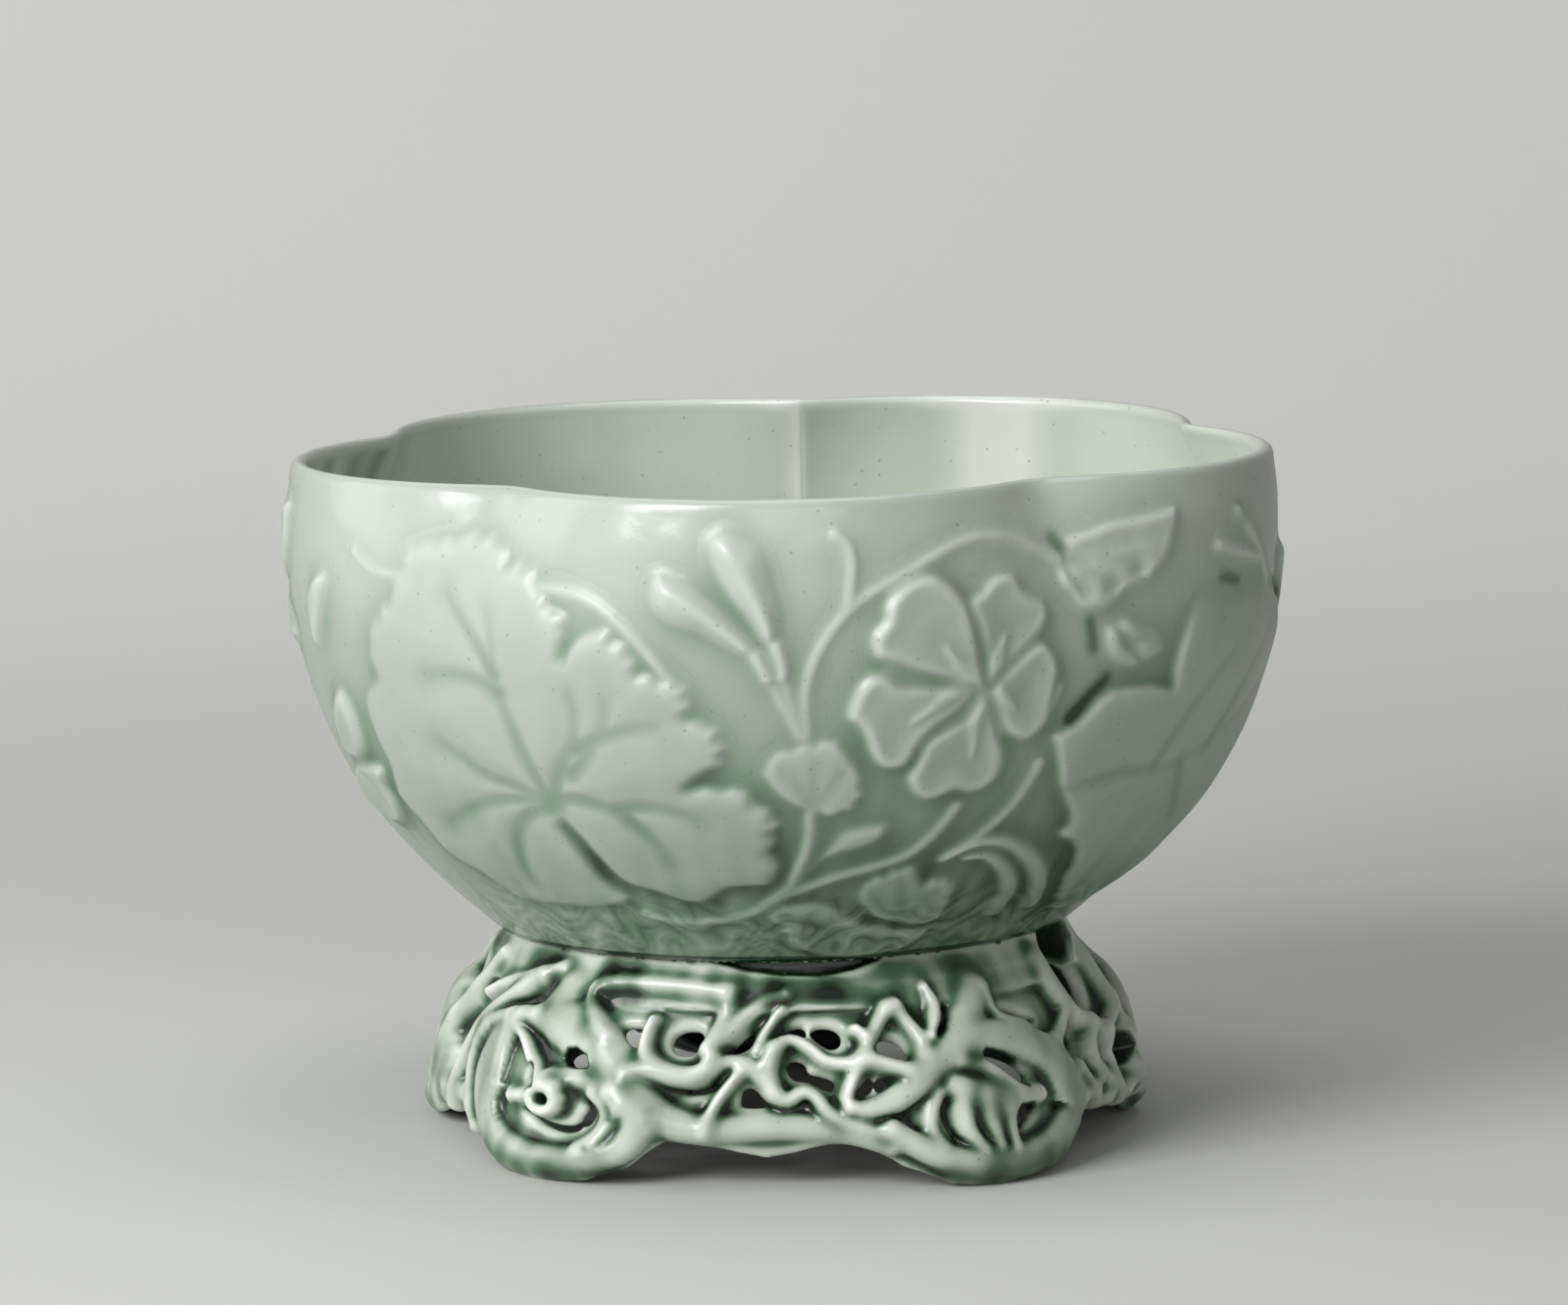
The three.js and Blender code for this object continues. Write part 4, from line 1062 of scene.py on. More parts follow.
def makeLobedBowlTree():
    tree, given, made = addGroup("lobedBowl", "GeometryNodeTree", lobedInputs, "Geometry", "Geometry")
    calc = calculator(tree)
    size = result(tree, "GeometryNodeAttributeDomainSize", {0: given["Geometry"]}, component="MESH")
    grid = result(tree, "GeometryNodeMeshGrid", {
        "Vertices X": calc("ADD", given["Columns"], 1.0), "Vertices Y": size})
    index = result(tree, "GeometryNodeInputIndex")
    column = calc("FLOOR", calc("DIVIDE", calc("ADD", index, 0.5), size))
    sample = addNode(tree, "GeometryNodeSampleIndex", data_type="FLOAT_VECTOR", domain="POINT")
    wire(tree, sample, {"Geometry": given["Geometry"], "Value": result(tree, "GeometryNodeInputPosition"),
                        "Index": calc("MODULO", index, size)})
    profile = addNode(tree, "ShaderNodeSeparateXYZ", {0: sample.outputs[0]}).outputs
    radius, height = profile[0], profile[2]
    even = calc("MULTIPLY", column, calc("DIVIDE", 360.0, given["Columns"]))
    pitch = calc("DIVIDE", 360.0, given["Lobes"])
    wave = calc("SINE", calc("MULTIPLY", calc("DIVIDE", even, pitch), math.tau))
    crowd = calc("MULTIPLY", calc("MULTIPLY", wave, given["Crowding"]), calc("DIVIDE", pitch, math.tau))
    turn = calc("ADD", even, crowd)
    share = ramp(tree, height, given["Crease Bottom"], given["Rim Height"])
    depth = calc("MULTIPLY", given["Lobe Depth"], calc("POWER", share, given["Crease Fade"]))
    half = calc("DIVIDE", pitch, 2.0)
    off = calc("ABSOLUTE", calc("SUBTRACT", calc("FLOORED_MODULO", calc("ADD", turn, half), pitch), half))

    def reach(angle):
        angle = calc("RADIANS", angle)
        aside = calc("MULTIPLY", depth, calc("SINE", angle))
        kept = calc("POWER", calc("SUBTRACT", 1.0, depth), 2.0)
        left = calc("SQRT", calc("SUBTRACT", kept, calc("MULTIPLY", aside, aside)))
        return calc("MULTIPLY", radius, calc("ADD", calc("MULTIPLY", depth, calc("COSINE", angle)), left))

    near, beside = reach(off), reach(calc("SUBTRACT", pitch, off))
    inner = result(tree, "ShaderNodeMapRange", {
        "Value": radius, "From Max": given["Base Radius"], "To Min": 0.001})
    rounding = calc("MULTIPLY", given["Crease Round"], inner)
    further = calc("EXPONENT", calc("DIVIDE", calc("SUBTRACT", beside, near), rounding))
    soft = calc("LOGARITHM", calc("ADD", 1.0, further), math.e)
    final = calc("ADD", near, calc("MULTIPLY", rounding, soft))
    angle = calc("RADIANS", calc("ADD", turn, given["Front Lobe"]))
    x, y = calc("MULTIPLY", final, calc("COSINE", angle)), calc("MULTIPLY", final, calc("SINE", angle))
    rising = ramp(tree, height, 0.0, given["Base Height"], interpolation_type="SMOOTHSTEP")
    slant = calc("TANGENT", calc("RADIANS", given["Lean"]))
    lifted = calc("ADD", height, calc("MULTIPLY", calc("MULTIPLY", x, slant), rising))
    placed = result(tree, "ShaderNodeCombineXYZ", {0: x, 1: y, 2: lifted})
    shifted = calculator(tree, "ShaderNodeVectorMath")("ADD", placed, given["Axis"])
    metres = result(tree, "ShaderNodeVectorMath", {0: shifted, 3: 0.001}, operation="SCALE")
    moved = result(tree, "GeometryNodeSetPosition", {"Geometry": grid, "Position": metres})
    merged = result(tree, "GeometryNodeMergeByDistance", {"Geometry": moved, "Distance": 0.00001})
    return endShape(tree, given, merged, made)


def growMesh(name, points, tree, inputs):
    # runs a node tree on some points and keeps the plain mesh it makes
    source = bpy.data.meshes.new(name)
    source.from_pydata([tuple(p) for p in points], [], [])
    carrier = addObject(name, source)
    modifier = carrier.modifiers.new("shape", "NODES")
    modifier.node_group = tree
    values = {label: value for sockets in inputs.values() for label, value in sockets.items()}
    for item in tree.interface.items_tree:
        if item.in_out == "INPUT" and values[item.name] is not None:
            modifier[item.identifier] = values[item.name]
    carrier.update_tag()
    evaluated = carrier.evaluated_get(bpy.context.evaluated_depsgraph_get())
    mesh = bpy.data.meshes.new_from_object(evaluated)
    bpy.data.objects.remove(carrier)
    mesh.name = name
    return mesh


def pointsOf(mesh):
    places = np.empty(len(mesh.vertices) * 3, np.float32)
    mesh.vertices.foreach_get("co", places)
    return places.reshape(-1, 3).astype(float)


def turnOutwards(mesh):
    # turns every face round if the closed mesh holds a negative volume
    places = pointsOf(mesh)
    mesh.calc_loop_triangles()
    corners = np.empty(len(mesh.loop_triangles) * 3, np.int32)
    mesh.loop_triangles.foreach_get("vertices", corners)
    a, b, c = places[corners.reshape(-1, 3)].transpose(1, 0, 2)
    if np.einsum("ij,ij->i", a, np.cross(b, c)).sum() < 0:
        mesh.flip_normals()


def unplaced(places):
    # back from the frame to azimuth, upright height and radius about the bowl's axis
    points = places * 1000 - axis
    height = points[:, 2].copy()
    for _ in range(4):
        height = points[:, 2] - leaning(points, height)
    return np.degrees(np.arctan2(points[:, 1], points[:, 0])) % 360, height, np.hypot(*points[:, :2].T)


def sampleWall(field, azimuth, height):
    row = np.clip((wayUp(height) - rowWays[0]) / relief["step"], 0, len(rowWays) - 1.001)
    column = azimuth / columnStep
    i, j = np.floor(row).astype(int), np.floor(column).astype(int)
    u, v = row - i, column - j
    j0, j1 = j % relief["columns"], (j + 1) % relief["columns"]
    before = field[i, j0] * (1 - u) * (1 - v) + field[i + 1, j0] * u * (1 - v)
    return before + field[i, j1] * (1 - u) * v + field[i + 1, j1] * u * v


bowlMesh = growMesh("lobed_bowl", [(r, 0, z) for r, z in bowlProfile()], makeLobedBowlTree(), lobedInputs)
turnOutwards(bowlMesh)
azimuth, height, radius = unplaced(pointsOf(bowlMesh))

# Inside, a painted reflection of the lamp makes the glaze paler right of the back ridge, and a painted
# highlight runs just left of it;
# painted shade darkens the ridge's right side and, in streaks like runs, the left wall below the rim. The
# shaded inner lip is painted pale, the underside painted dark.
lining = {
    "skin": 0.8, "reflectionAt": 62, "reflectionWidth": 8, "reflectionLow": 110, "highlightAt": 88, "highlightWidth": 3,
    "ridgeAt": 87.4, "low": 85, "rise": 40, "paintedLight": 1.2, "lip": 0.6, "lipLow": 173.5, "lipRise": 2.5,
    "pool": 0.4, "poolTop": 174, "ground": 0.05, "underside": 57.2, "ridgeShadeAt": 86.9, "ridgeShadeWidth": 6,
    "deep": 0.6, "shadeRunsAt": 168, "shadeRunsWidth": 15, "shadeRunsLow": 140, "shadeRunsRise": 30, "inward": 1.2,
    "inwardWidth": 1.5, "shaded": 0.75,
}
outside = (radius > wallRadius(azimuth, height) - lining["skin"]) & (height > relief["low"])
aboveFloor = smooth((height - lining["low"]) / lining["rise"])
# painted reflection of the lamp on the inner wall right of the back ridge
paintedLight = hill(azimuth, lining["reflectionAt"], lining["reflectionWidth"])
paintedLight = paintedLight * smooth((height - lining["reflectionLow"]) / lining["rise"])
# painted highlight on a strip just left of the ridge
ridgeHighlight = np.exp(-np.abs(azimuth - lining["highlightAt"]) / lining["highlightWidth"])
paintedLight = paintedLight + ridgeHighlight * (azimuth > lining["ridgeAt"]) * aboveFloor
paintedLight = np.clip(lining["paintedLight"] * paintedLight, 0, 1) * ~outside
# painted light: the shaded inner lip is made paler
lip = lining["lip"] * smooth((height - lining["lipLow"]) / lining["lipRise"])
innerPool = lining["pool"] * (height < lining["poolTop"]) * (1 - paintedLight) + lining["ground"]
# painted shade: the bowl's underside is made dark
innerPool = innerPool + (height < lining["underside"])
addValues(bowlMesh, pool=np.where(outside, sampleWall(poolField, azimuth, height), innerPool),
          crest=np.where(outside, sampleWall(crestField, azimuth, height), np.clip(paintedLight + lip, 0, 1)))
# painted shade on the side of the ridge away from the light
ridge = lining["deep"] * np.exp(-np.abs(lining["ridgeShadeAt"] - azimuth) / lining["ridgeShadeWidth"])
ridge = ridge * smooth((lining["ridgeAt"] - azimuth) / 0.9) * aboveFloor
# painted shade on the left wall below the rim, broken into streaks like runs of glaze
shadeRuns = hill(azimuth, lining["shadeRunsAt"], lining["shadeRunsWidth"])
shadeRuns = shadeRuns * smooth((height - lining["shadeRunsLow"]) / lining["shadeRunsRise"])
shadeRuns = shadeRuns * (0.75 + 0.5 * streaks(azimuth, height, 3, 20, 90, 0.05))
inward = smooth((wallRadius(azimuth, height) - lining["inward"] - radius) / lining["inwardWidth"])
inward = inward * (height > bowl["base"] + 3)
pale = np.clip(1 - lining["shaded"] * np.maximum(ridge, shadeRuns) - paintedLight - lip, 0, 1)
addValues(bowlMesh, inner=inward * pale)
addPiece("lobed_bowl", bowlMesh, None, ["bowl_shell"])
print("bowl made:", len(bowlMesh.vertices), "points")

# The stand: a pierced sheet with branches and scroll bands melted onto it. It is worked out as one
# field over azimuth, way up the slope and depth, and meshed as one skin that the pieces share.
stand = {
    "heights": (-3, 59, 621), "reach": (-1.6, 57.2), "degree": 1.3, "holeReach": 4.5, "collarReach": 38,
    "cutRound": 0.6, "top": 53.0, "topRadius": 72.0, "foot": 12.0, "footRadius": 90.0, "swell": 5.0,
    "curve": 1.8, "frontLeft": 231.9, "columns": 900, "step": 0.62, "deepest": -14.0, "highest": 5.6,
    "melt": 1.15, "sheetDepth": -4.8, "sheetHalf": 1.9, "strandHalf": 3.1, "seat": 55.7,
    "collarBottom": 44.5, "soften": 1.5,
    "collar": [(62, 45), (62, 55.7), (71.2, 55.7), (72.6, 53.0), (74.4, 49.5), (76, 44.2), (71, 43)],
    "cuts": [
        ([(254, 56.6), (258, 55.2), (263, 53.8), (270, 52.8), (277, 52.4), (284, 53.4), (289, 55.4),
          (292, 58), (254, 58)], -3.4, 1),
        ([(332, 58), (332, 46), (335, 41), (340, 37.5), (346, 37), (350, 42), (351, 50), (350, 58)], -14.0,
         1),
        ([(304.8, 32.4), (306.3, 32.2), (308.8, 31.0), (311.4, 29.2), (313.0, 27.0), (313.7, 25.0),
          (313.4, 23.6), (312.2, 23.4), (310.5, 24.5), (308.8, 26.7), (307.2, 28.8), (305.3, 31.0)], -14.0,
         4),
        ([(309.8, 18.7), (312.9, 18.5), (314.2, 17.2), (312.9, 14.8), (310.9, 13.4), (309.1, 14.7)], -14.0,
         4),
        ([(350.5, 26), (355, 27), (358.5, 23.7), (359.5, 20.3), (357.5, 17.3), (354.5, 16.2), (350.7, 18.2),
          (349, 22)], -14.0, 3),
        ([(331.5, 31.5), (336, 29.6), (336.6, 26), (334, 25)], -14.0, 3),
        ([(223.8, 25.8), (224.0, 28.0), (225.3, 29.1), (226.7, 26.5), (227.7, 23.8), (224.9, 23.1)], -14.0,
         1),
        ([(231.1, 31.8), (232.1, 33.4), (234.0, 33.7), (235.9, 32.3), (236.2, 30.5), (234.0, 30.0),
          (232.1, 30.6)], -14.0, 1)],
    "pads": [(228.0, 8.5), (305.5, 7.5), (377.5, 7.5), (449.5, 7.5), (521.5, 7.5)],
    "padHeights": (4.6, 3.4, 4.6), "padWidths": (3.4, 3.9, 3.4), "padCrest": -0.4,
    "collarPools": [(273, 13), (237, 6)],
    "lowEdge": [
        (231.9, 1.5), (240, 3), (244, 5), (247, 9), (250, 12.2), (256, 11.5), (262, 8.8), (267, 7.4),
        (272, 8.8), (278, 11.5), (283, 12.5), (286, 10), (290, 5.5), (295, 3), (303.9, 1.5)],
    "sideLowEdge": [
        (303.9, 1.5), (316, 3), (322, 5), (327, 9), (330, 12), (335, 11.5), (340, 9.5), (346, 11.5),
        (353, 12.5), (358, 10), (362, 5.5), (367, 3), (375.9, 1.5)],
    "backLowEdge": [
        (519.9, 1.5), (532, 3), (538, 5), (543, 9), (546, 12), (556, 11), (564, 11), (568, 8), (574, 4),
        (580, 3), (591.9, 1.5)],
}

standHeights = np.linspace(*stand["heights"])
standDrop = np.clip((stand["top"] - standHeights) / (stand["top"] - stand["foot"]), 0, 1)
standDrop = 1 - (1 - standDrop) ** stand["curve"]
softening = np.exp(-0.5 * (np.arange(-60, 61) * 0.1 / 2.0) ** 2)
standDrop = np.convolve(np.pad(standDrop, 60, mode="edge"), softening / softening.sum(), "valid")
standProfile = stand["topRadius"] + (stand["footRadius"] - stand["topRadius"]) * standDrop
standTilt = np.gradient(standProfile, standHeights)
standWays = np.concatenate([[0], np.cumsum(np.hypot(1, standTilt[1:]) * np.diff(standHeights))])


def standRadius(azimuth, height):
    wave = np.cos(np.radians(bowl["lobes"] * (azimuth - stand["frontLeft"])))
    swell = stand["swell"] * np.interp(height, standHeights, standDrop) * wave
    return np.interp(height, standHeights, standProfile) + swell


def standWay(height):
    return np.interp(height, standHeights, standWays)


def standPlace(azimuth, way, depth):
    height = np.interp(way, standWays, standHeights)
    steep = np.interp(height, standHeights, standTilt)
    out = standRadius(azimuth, height) + depth / np.hypot(1, steep)
    turn = np.radians(azimuth)
    return np.stack([out * np.cos(turn), out * np.sin(turn), height - depth * steep / np.hypot(1, steep)], -1)


standRows = np.arange(*standWay(np.array(stand["reach"])), stand["step"])
standLayers = np.arange(stand["deepest"], stand["highest"], stand["step"])
standStep = 360 / stand["columns"]
standRowHeights = np.interp(standRows, standWays, standHeights)
standSize = (stand["columns"], len(standRows), len(standLayers))
standEnergy = np.full(standSize, 1e-9, np.float32)
standCut = np.full(standSize, 9.0, np.float32)
sheetInside = np.zeros(standSize[:2])


def standPlot(points, reach):
    columns = columnsRound(points, reach / stand["degree"], standStep)
    rows = rowsRound(standWay(points[:, 1]), reach, standRows)
    azimuth, way = np.meshgrid(columns * standStep, standRows[rows], indexing="ij")
    degree = standRadius(azimuth, np.interp(way, standWays, standHeights)) * math.pi / 180
    return SimpleNamespace(rows=rows, columns=columns, azimuth=azimuth, way=way, degree=degree,
                           wayOf=standWay)


def standCells(plot):
    return np.ix_(plot.columns % stand["columns"], plot.rows)


def addStrand(path, widths, crest):
    plot = standPlot(path, max(widths) + 5)
    gap, along = nearRoute(plot, path)
    wide = np.interp(along, np.linspace(0, 1, len(widths)), widths)[..., None]
    half = stand["strandHalf"]
    depth = (standLayers - (crest - half)) / half
    field = (np.hypot(gap[..., None] / wide, depth) - 1) * np.minimum(wide, half)
    standEnergy[standCells(plot)] += np.exp(-field / stand["melt"]).astype(np.float32)


def addHole(outline):
    plot = standPlot(outline, stand["holeReach"])
    cells = standCells(plot)
    sheetInside[cells] = np.minimum(sheetInside[cells], -insideBy(plot, outline))


def addCut(outline, deepest):
    plot = standPlot(outline, stand["holeReach"])
    cells = standCells(plot)
    gone = np.maximum(-insideBy(plot, outline)[..., None], deepest - standLayers)
    standCut[cells] = np.minimum(standCut[cells], gone)


# Branches and holes as points on two details of the picture, enlarged four times
details = {"left": (420, 920), "right": (780, 920), "zoom": 4}


def onStand(side, points, closed=False):
    # side None: the points are azimuths and heights already
    if side is not None:
        points = onWall(np.asarray(points, float) / details["zoom"] + details[side], standRadius)
    return curveThrough(points, 3, closed)


eyeletFoot = {
    "strands": [
        ([(470, 468), (400, 520), (345, 600), (308, 700), (298, 800), (310, 900), (350, 985), (450, 1042),
          (580, 1060), (720, 1058), (830, 1025), (900, 960), (915, 890), (885, 835), (830, 780)],
         (1.8, 3.6, 5.1, 5.6, 5.9, 5.9, 4.8, 3.6, 3.2, 3.1, 3.2, 3.3, 3.2, 2.8, 2.4), 1.9),
        ([(430, 475), (458, 540), (482, 620), (500, 690), (540, 735), (585, 760)],
         (1.7, 1.5, 1.5, 1.6, 1.8, 1.8), 1.3),
        ([(588, 805), (574, 839), (540, 853), (506, 839), (492, 805), (506, 771), (540, 757), (574, 771),
          (588, 805)], (1.7, 1.7), 1.7),
        ([(385, 785), (485, 785)], (1.9, 1.7), -0.4),
        ([(735, 785), (778, 840), (778, 900), (738, 960), (670, 1004)], (1.5, 1.5, 1.5, 1.4, 1.2), -0.5),
        ([(845, 850), (812, 925), (745, 990)], (0.9, 1.1, 0.9), -1.2),
        ([(560, 700), (640, 715), (740, 742), (830, 790), (900, 860), (960, 930)],
         (1.6, 2.4, 2.6, 2.6, 2.4, 2.0), -0.4)],
    "holes": [
        [(612, 628), (640, 602), (690, 608), (716, 640), (708, 666), (668, 672), (630, 660)],
        [(447, 700), (468, 668), (484, 690), (496, 730), (480, 752), (455, 738)],
        [(428, 848), (462, 842), (500, 885), (560, 915), (620, 922), (655, 905), (660, 935), (610, 955),
         (545, 945), (480, 905)],
        [(690, 803), (718, 800), (733, 835), (720, 885), (690, 922), (655, 925), (655, 895), (683, 850)],
        [(800, 795), (835, 805), (850, 845), (835, 885), (795, 930), (755, 955), (778, 895), (800, 845)],
        [(566, 805), (558, 823), (540, 831), (522, 823), (514, 805), (522, 787), (540, 779), (558, 787)],
        [(462, 452), (500, 456), (545, 432), (566, 395), (560, 372), (520, 400), (478, 430)]],
}

diagonalBand = {
    "strands": [
        ([(645, 345), (600, 440), (680, 530), (780, 610), (860, 700), (930, 800), (1010, 870), (1110, 915),
          (1190, 935)], (3.0, 4.8, 5.2, 4.9, 4.4, 3.8, 3.3, 2.8, 2.2), 1.1),
        ([(520, 470), (600, 500), (700, 560)], (2.4, 3.8, 3.4), 0.5),
        ([(795, 342), (755, 368), (745, 430), (765, 500), (800, 550)], (1.9, 1.8, 1.7, 1.6, 1.4), 0.7),
        ([(770, 350), (850, 326), (1000, 334), (1150, 350), (1290, 375)], (1.8, 1.9, 1.9, 1.9, 2.0), 0.8),
        ([(1290, 375), (1295, 440), (1255, 530), (1215, 600)], (2.2, 2.3, 2.2, 1.9), 0.4),
        ([(985, 480), (960, 540), (955, 610), (1000, 665), (1090, 695), (1180, 690), (1230, 640)],
         (1.2, 1.5, 1.6, 1.6, 1.6, 1.5, 1.4), 0.9)],
    "holes": [
        [(825, 530), (850, 495), (920, 495), (945, 520), (940, 600), (910, 620), (880, 600), (840, 565)],
        [(1045, 575), (1060, 530), (1110, 508), (1165, 512), (1187, 545), (1172, 590), (1125, 614),
         (1070, 608)],
        [(1070, 748), (1150, 760), (1255, 735), (1215, 775), (1120, 785)]],
}

vines = {
    "strands": [
        ([(880, 700), (930, 688), (985, 700), (1060, 722), (1140, 726), (1220, 690), (1300, 655),
          (1380, 675), (1440, 730), (1480, 785), (1535, 808), (1600, 780), (1650, 800), (1700, 860),
          (1770, 900), (1860, 930), (1940, 935)], (1.9, 1.8, 1.9, 1.8, 1.9), 0.9),
        ([(1215, 600), (1290, 540), (1360, 470), (1440, 410), (1520, 385)], (2.0, 2.0, 1.9, 1.8, 1.4), 0.6),
        ([(1405, 610), (1435, 545), (1475, 485), (1512, 448)], (1.1, 1.1, 1.0, 0.8), 0.1),
        ([(1195, 945), (1215, 880), (1250, 810), (1300, 745), (1340, 700)], (1.6, 1.3, 1.3, 1.3, 1.3), 0.7),
        ([(1450, 660), (1480, 600), (1545, 562), (1620, 592), (1690, 645), (1780, 660), (1880, 650),
          (2010, 690)], (1.6, 1.7, 1.6, 1.6, 1.4), 0.7),
        ([(1482, 610), (1468, 690), (1482, 770)], (1.6, 1.6, 1.7), 0.4),
        ([(1000, 905), (1100, 935), (1250, 938), (1450, 925), (1600, 925), (1760, 935), (1860, 965),
          (1960, 1000)], (2.6, 3.0, 3.3, 3.4, 3.4, 3.2, 2.8, 2.4), 0.3),
        ([(1775, 800), (1810, 700), (1850, 610), (1880, 540), (1925, 455), (1970, 418)],
         (1.5, 1.6, 1.6, 1.6, 1.7, 1.6), 0.9),
        ([(1815, 518), (1840, 548)], (1.3, 1.1), 0.9),
        ([(1940, 430), (1985, 445), (2040, 500), (2080, 560), (2095, 620)], (1.6, 1.7, 1.7, 1.6, 1.5), 0.3),
        ([(1880, 650), (1960, 665), (2040, 690)], (1.4, 1.3, 1.3), 0.1),
        ([(2092, 345), (2130, 400), (2140, 460), (2120, 545)], (0.8, 1.5, 1.5, 0.7), 0.4)],
    "holes": [
        [(1275, 612), (1320, 560), (1380, 512), (1408, 520), (1400, 570), (1360, 600), (1310, 618)],
        [(1335, 800), (1345, 760), (1390, 750), (1440, 790), (1475, 835), (1420, 848), (1345, 840)],
        [(1525, 665), (1560, 635), (1610, 650), (1630, 690), (1690, 705), (1740, 730), (1730, 770),
         (1680, 765), (1620, 735), (1560, 720)],
        [(1630, 515), (1670, 495), (1730, 500), (1765, 530), (1758, 572), (1720, 588), (1680, 572),
         (1645, 545)],
        [(1500, 560), (1540, 505), (1590, 492), (1615, 512), (1612, 540), (1570, 548), (1535, 562)],
        [(1898, 575), (1925, 542), (1990, 552), (2040, 590), (2062, 622), (2040, 652), (1995, 645),
         (1945, 622), (1908, 605)],
        [(1780, 805), (1840, 745), (1872, 705), (1900, 705), (1900, 765), (1840, 812)],
        [(1910, 712), (1952, 706), (1966, 735), (1945, 768), (1910, 775)],
        [(2182, 400), (2202, 412), (2206, 480), (2182, 530), (2142, 570), (2134, 555), (2162, 490)]],
}

clawFoot = {
    "strands": [
        ([(350, 842), (430, 850), (520, 820), (600, 760), (690, 670), (780, 592), (880, 552), (1000, 550),
          (1120, 590), (1202, 660), (1250, 760), (1256, 860), (1222, 950), (1155, 1018), (1050, 1056),
          (930, 1070), (800, 1064), (700, 1034), (600, 985), (520, 930)],
         (1.4, 2.4, 2.9, 3.1, 3.3, 3.5, 3.8, 4.1, 4.5, 5.1, 5.6, 5.7, 5.2, 4.4, 3.8, 3.4, 3.1, 3.0, 2.8,
          2.5), 1.9),
        ([(850, 335), (850, 430), (830, 525)], (3.6, 3.3, 3.5), 0.7),
        ([(890, 345), (960, 460), (1060, 500)], (1.2, 1.4, 2.0), -0.4),
        ([(1085, 232), (1150, 285), (1190, 350), (1222, 420), (1222, 500), (1190, 560)],
         (1.8, 1.7, 1.7, 1.7, 1.7, 1.6), 0.6),
        ([(775, 742), (860, 768), (960, 800), (1040, 796), (1140, 782)], (2.3, 3.4, 4.4, 3.4, 2.2), 0.5),
        ([(800, 655), (900, 668), (980, 708), (1050, 765)], (1.5, 2.5, 3.0, 2.8), -0.1),
        ([(715, 780), (690, 850), (690, 930), (725, 1000)], (1.7, 1.9, 1.9, 1.6), -0.2),
        ([(812, 765), (828, 850), (846, 930), (896, 1005)], (2.3, 2.3, 2.2, 1.7), 0.2),
        ([(905, 800), (925, 870), (950, 930), (965, 985)], (2.0, 2.1, 1.9, 1.4), 0.2),
        ([(1000, 850), (1018, 920), (1030, 985)], (2.3, 1.9, 1.2), 0.2)],
    "holes": [
        [(905, 628), (950, 615), (1020, 635), (1082, 668), (1112, 705), (1100, 742), (1058, 735),
         (1005, 700), (945, 660)],
        [(1043, 885), (1068, 842), (1110, 828), (1136, 850), (1112, 892), (1080, 922), (1050, 915)],
        [(588, 882), (610, 870), (642, 910), (668, 960), (672, 1002), (642, 992), (608, 950)],
        [(720, 782), (750, 765), (792, 800), (792, 850), (802, 920), (822, 970), (852, 1020), (812, 1002),
         (768, 935), (738, 870)],
        [(862, 860), (880, 850), (898, 890), (925, 950), (940, 1000), (915, 1000), (885, 950)],
        [(965, 868), (985, 860), (996, 900), (1004, 950), (1006, 985), (990, 985), (978, 930)],
        [(948, 432), (1010, 420), (1080, 440), (1132, 462), (1110, 476), (1030, 466), (970, 447)]],
}

# What the picture shows edge on, in azimuth and height
sideWork = {
    "strands": [
        ([(330, 56), (329, 48), (332, 40), (337, 34.5), (343, 31), (348, 27)],
         (2.3, 2.4, 2.5, 2.6, 2.6, 2.5), 1.5),
        ([(351, 56), (354, 48), (356, 40), (357, 33), (354, 29), (348, 27)], (2.4, 2.6, 2.6, 2.6, 2.5, 2.4),
         1.5),
        ([(343, 30), (341, 24), (343, 18), (349, 14), (351, 10)], (2.3, 2.4, 2.5, 2.5, 2.4), 1.4),
        ([(349, 27), (349, 20), (350, 14), (355, 10), (360, 13)], (2.2, 2.2, 2.3, 2.3, 2.2), 1.3),
        ([(357, 33), (360, 26), (361, 18), (362, 10)], (2.4, 2.5, 2.5, 2.5), 1.3),
        ([(333, 22), (337, 17), (341, 12), (347, 11)], (2.2, 2.3, 2.4, 2.3), 1.1),
        ([(333, 15), (339, 15), (343, 18)], (2.0, 2.2, 2.2), 0.9)],
    "holes": [
        [(332, 54), (332, 46), (335, 41), (340, 37), (346, 34), (350, 36), (352, 42), (350, 50), (347, 54)],
        [(331, 33), (334, 25), (338, 23), (340, 28), (336, 34)],
        [(352, 27), (351.5, 18), (355, 14.5), (358, 18), (358, 26), (355, 30)],
        [(341, 15), (342, 9), (346, 7), (348, 10), (346, 14.5)],
        [(343, 27), (344, 21), (347, 18), (348, 22), (347, 26)], [(334, 13), (337, 8), (339, 9), (338, 14)]],
}

leftWork = {
    "strands": [
        ([(218, 48), (210, 42), (202, 35), (196, 26), (192, 17), (190, 9)], (2.2, 2.1, 2.2, 2.3, 2.4, 2.5),
         2.2),
        ([(197, 50), (192, 43), (186, 35), (181, 25), (178, 14)], (2.2, 2.1, 2.3, 2.4, 2.5), 2.0),
        ([(222, 40), (213, 38), (204, 33), (200, 24), (201, 15), (205, 7)], (1.9, 1.8, 1.9, 2.1, 2.1, 2.2),
         1.6),
        ([(222, 51), (212, 47), (204, 44), (196, 40)], (1.6, 1.7, 1.7, 1.6), 1.4),
        ([(186, 12), (194, 13), (202, 12)], (3.0, 3.2, 3.0), 1.2)],
    "holes": [
        [(205, 46), (200, 42), (195, 36), (197, 34), (203, 38), (209, 44)],
        [(194, 33), (189, 26), (187, 19), (190, 19), (194, 26)],
        [(209, 35), (205, 30), (206, 26), (209, 30)], [(197, 19), (196, 14), (199, 12), (199, 17)]],
}


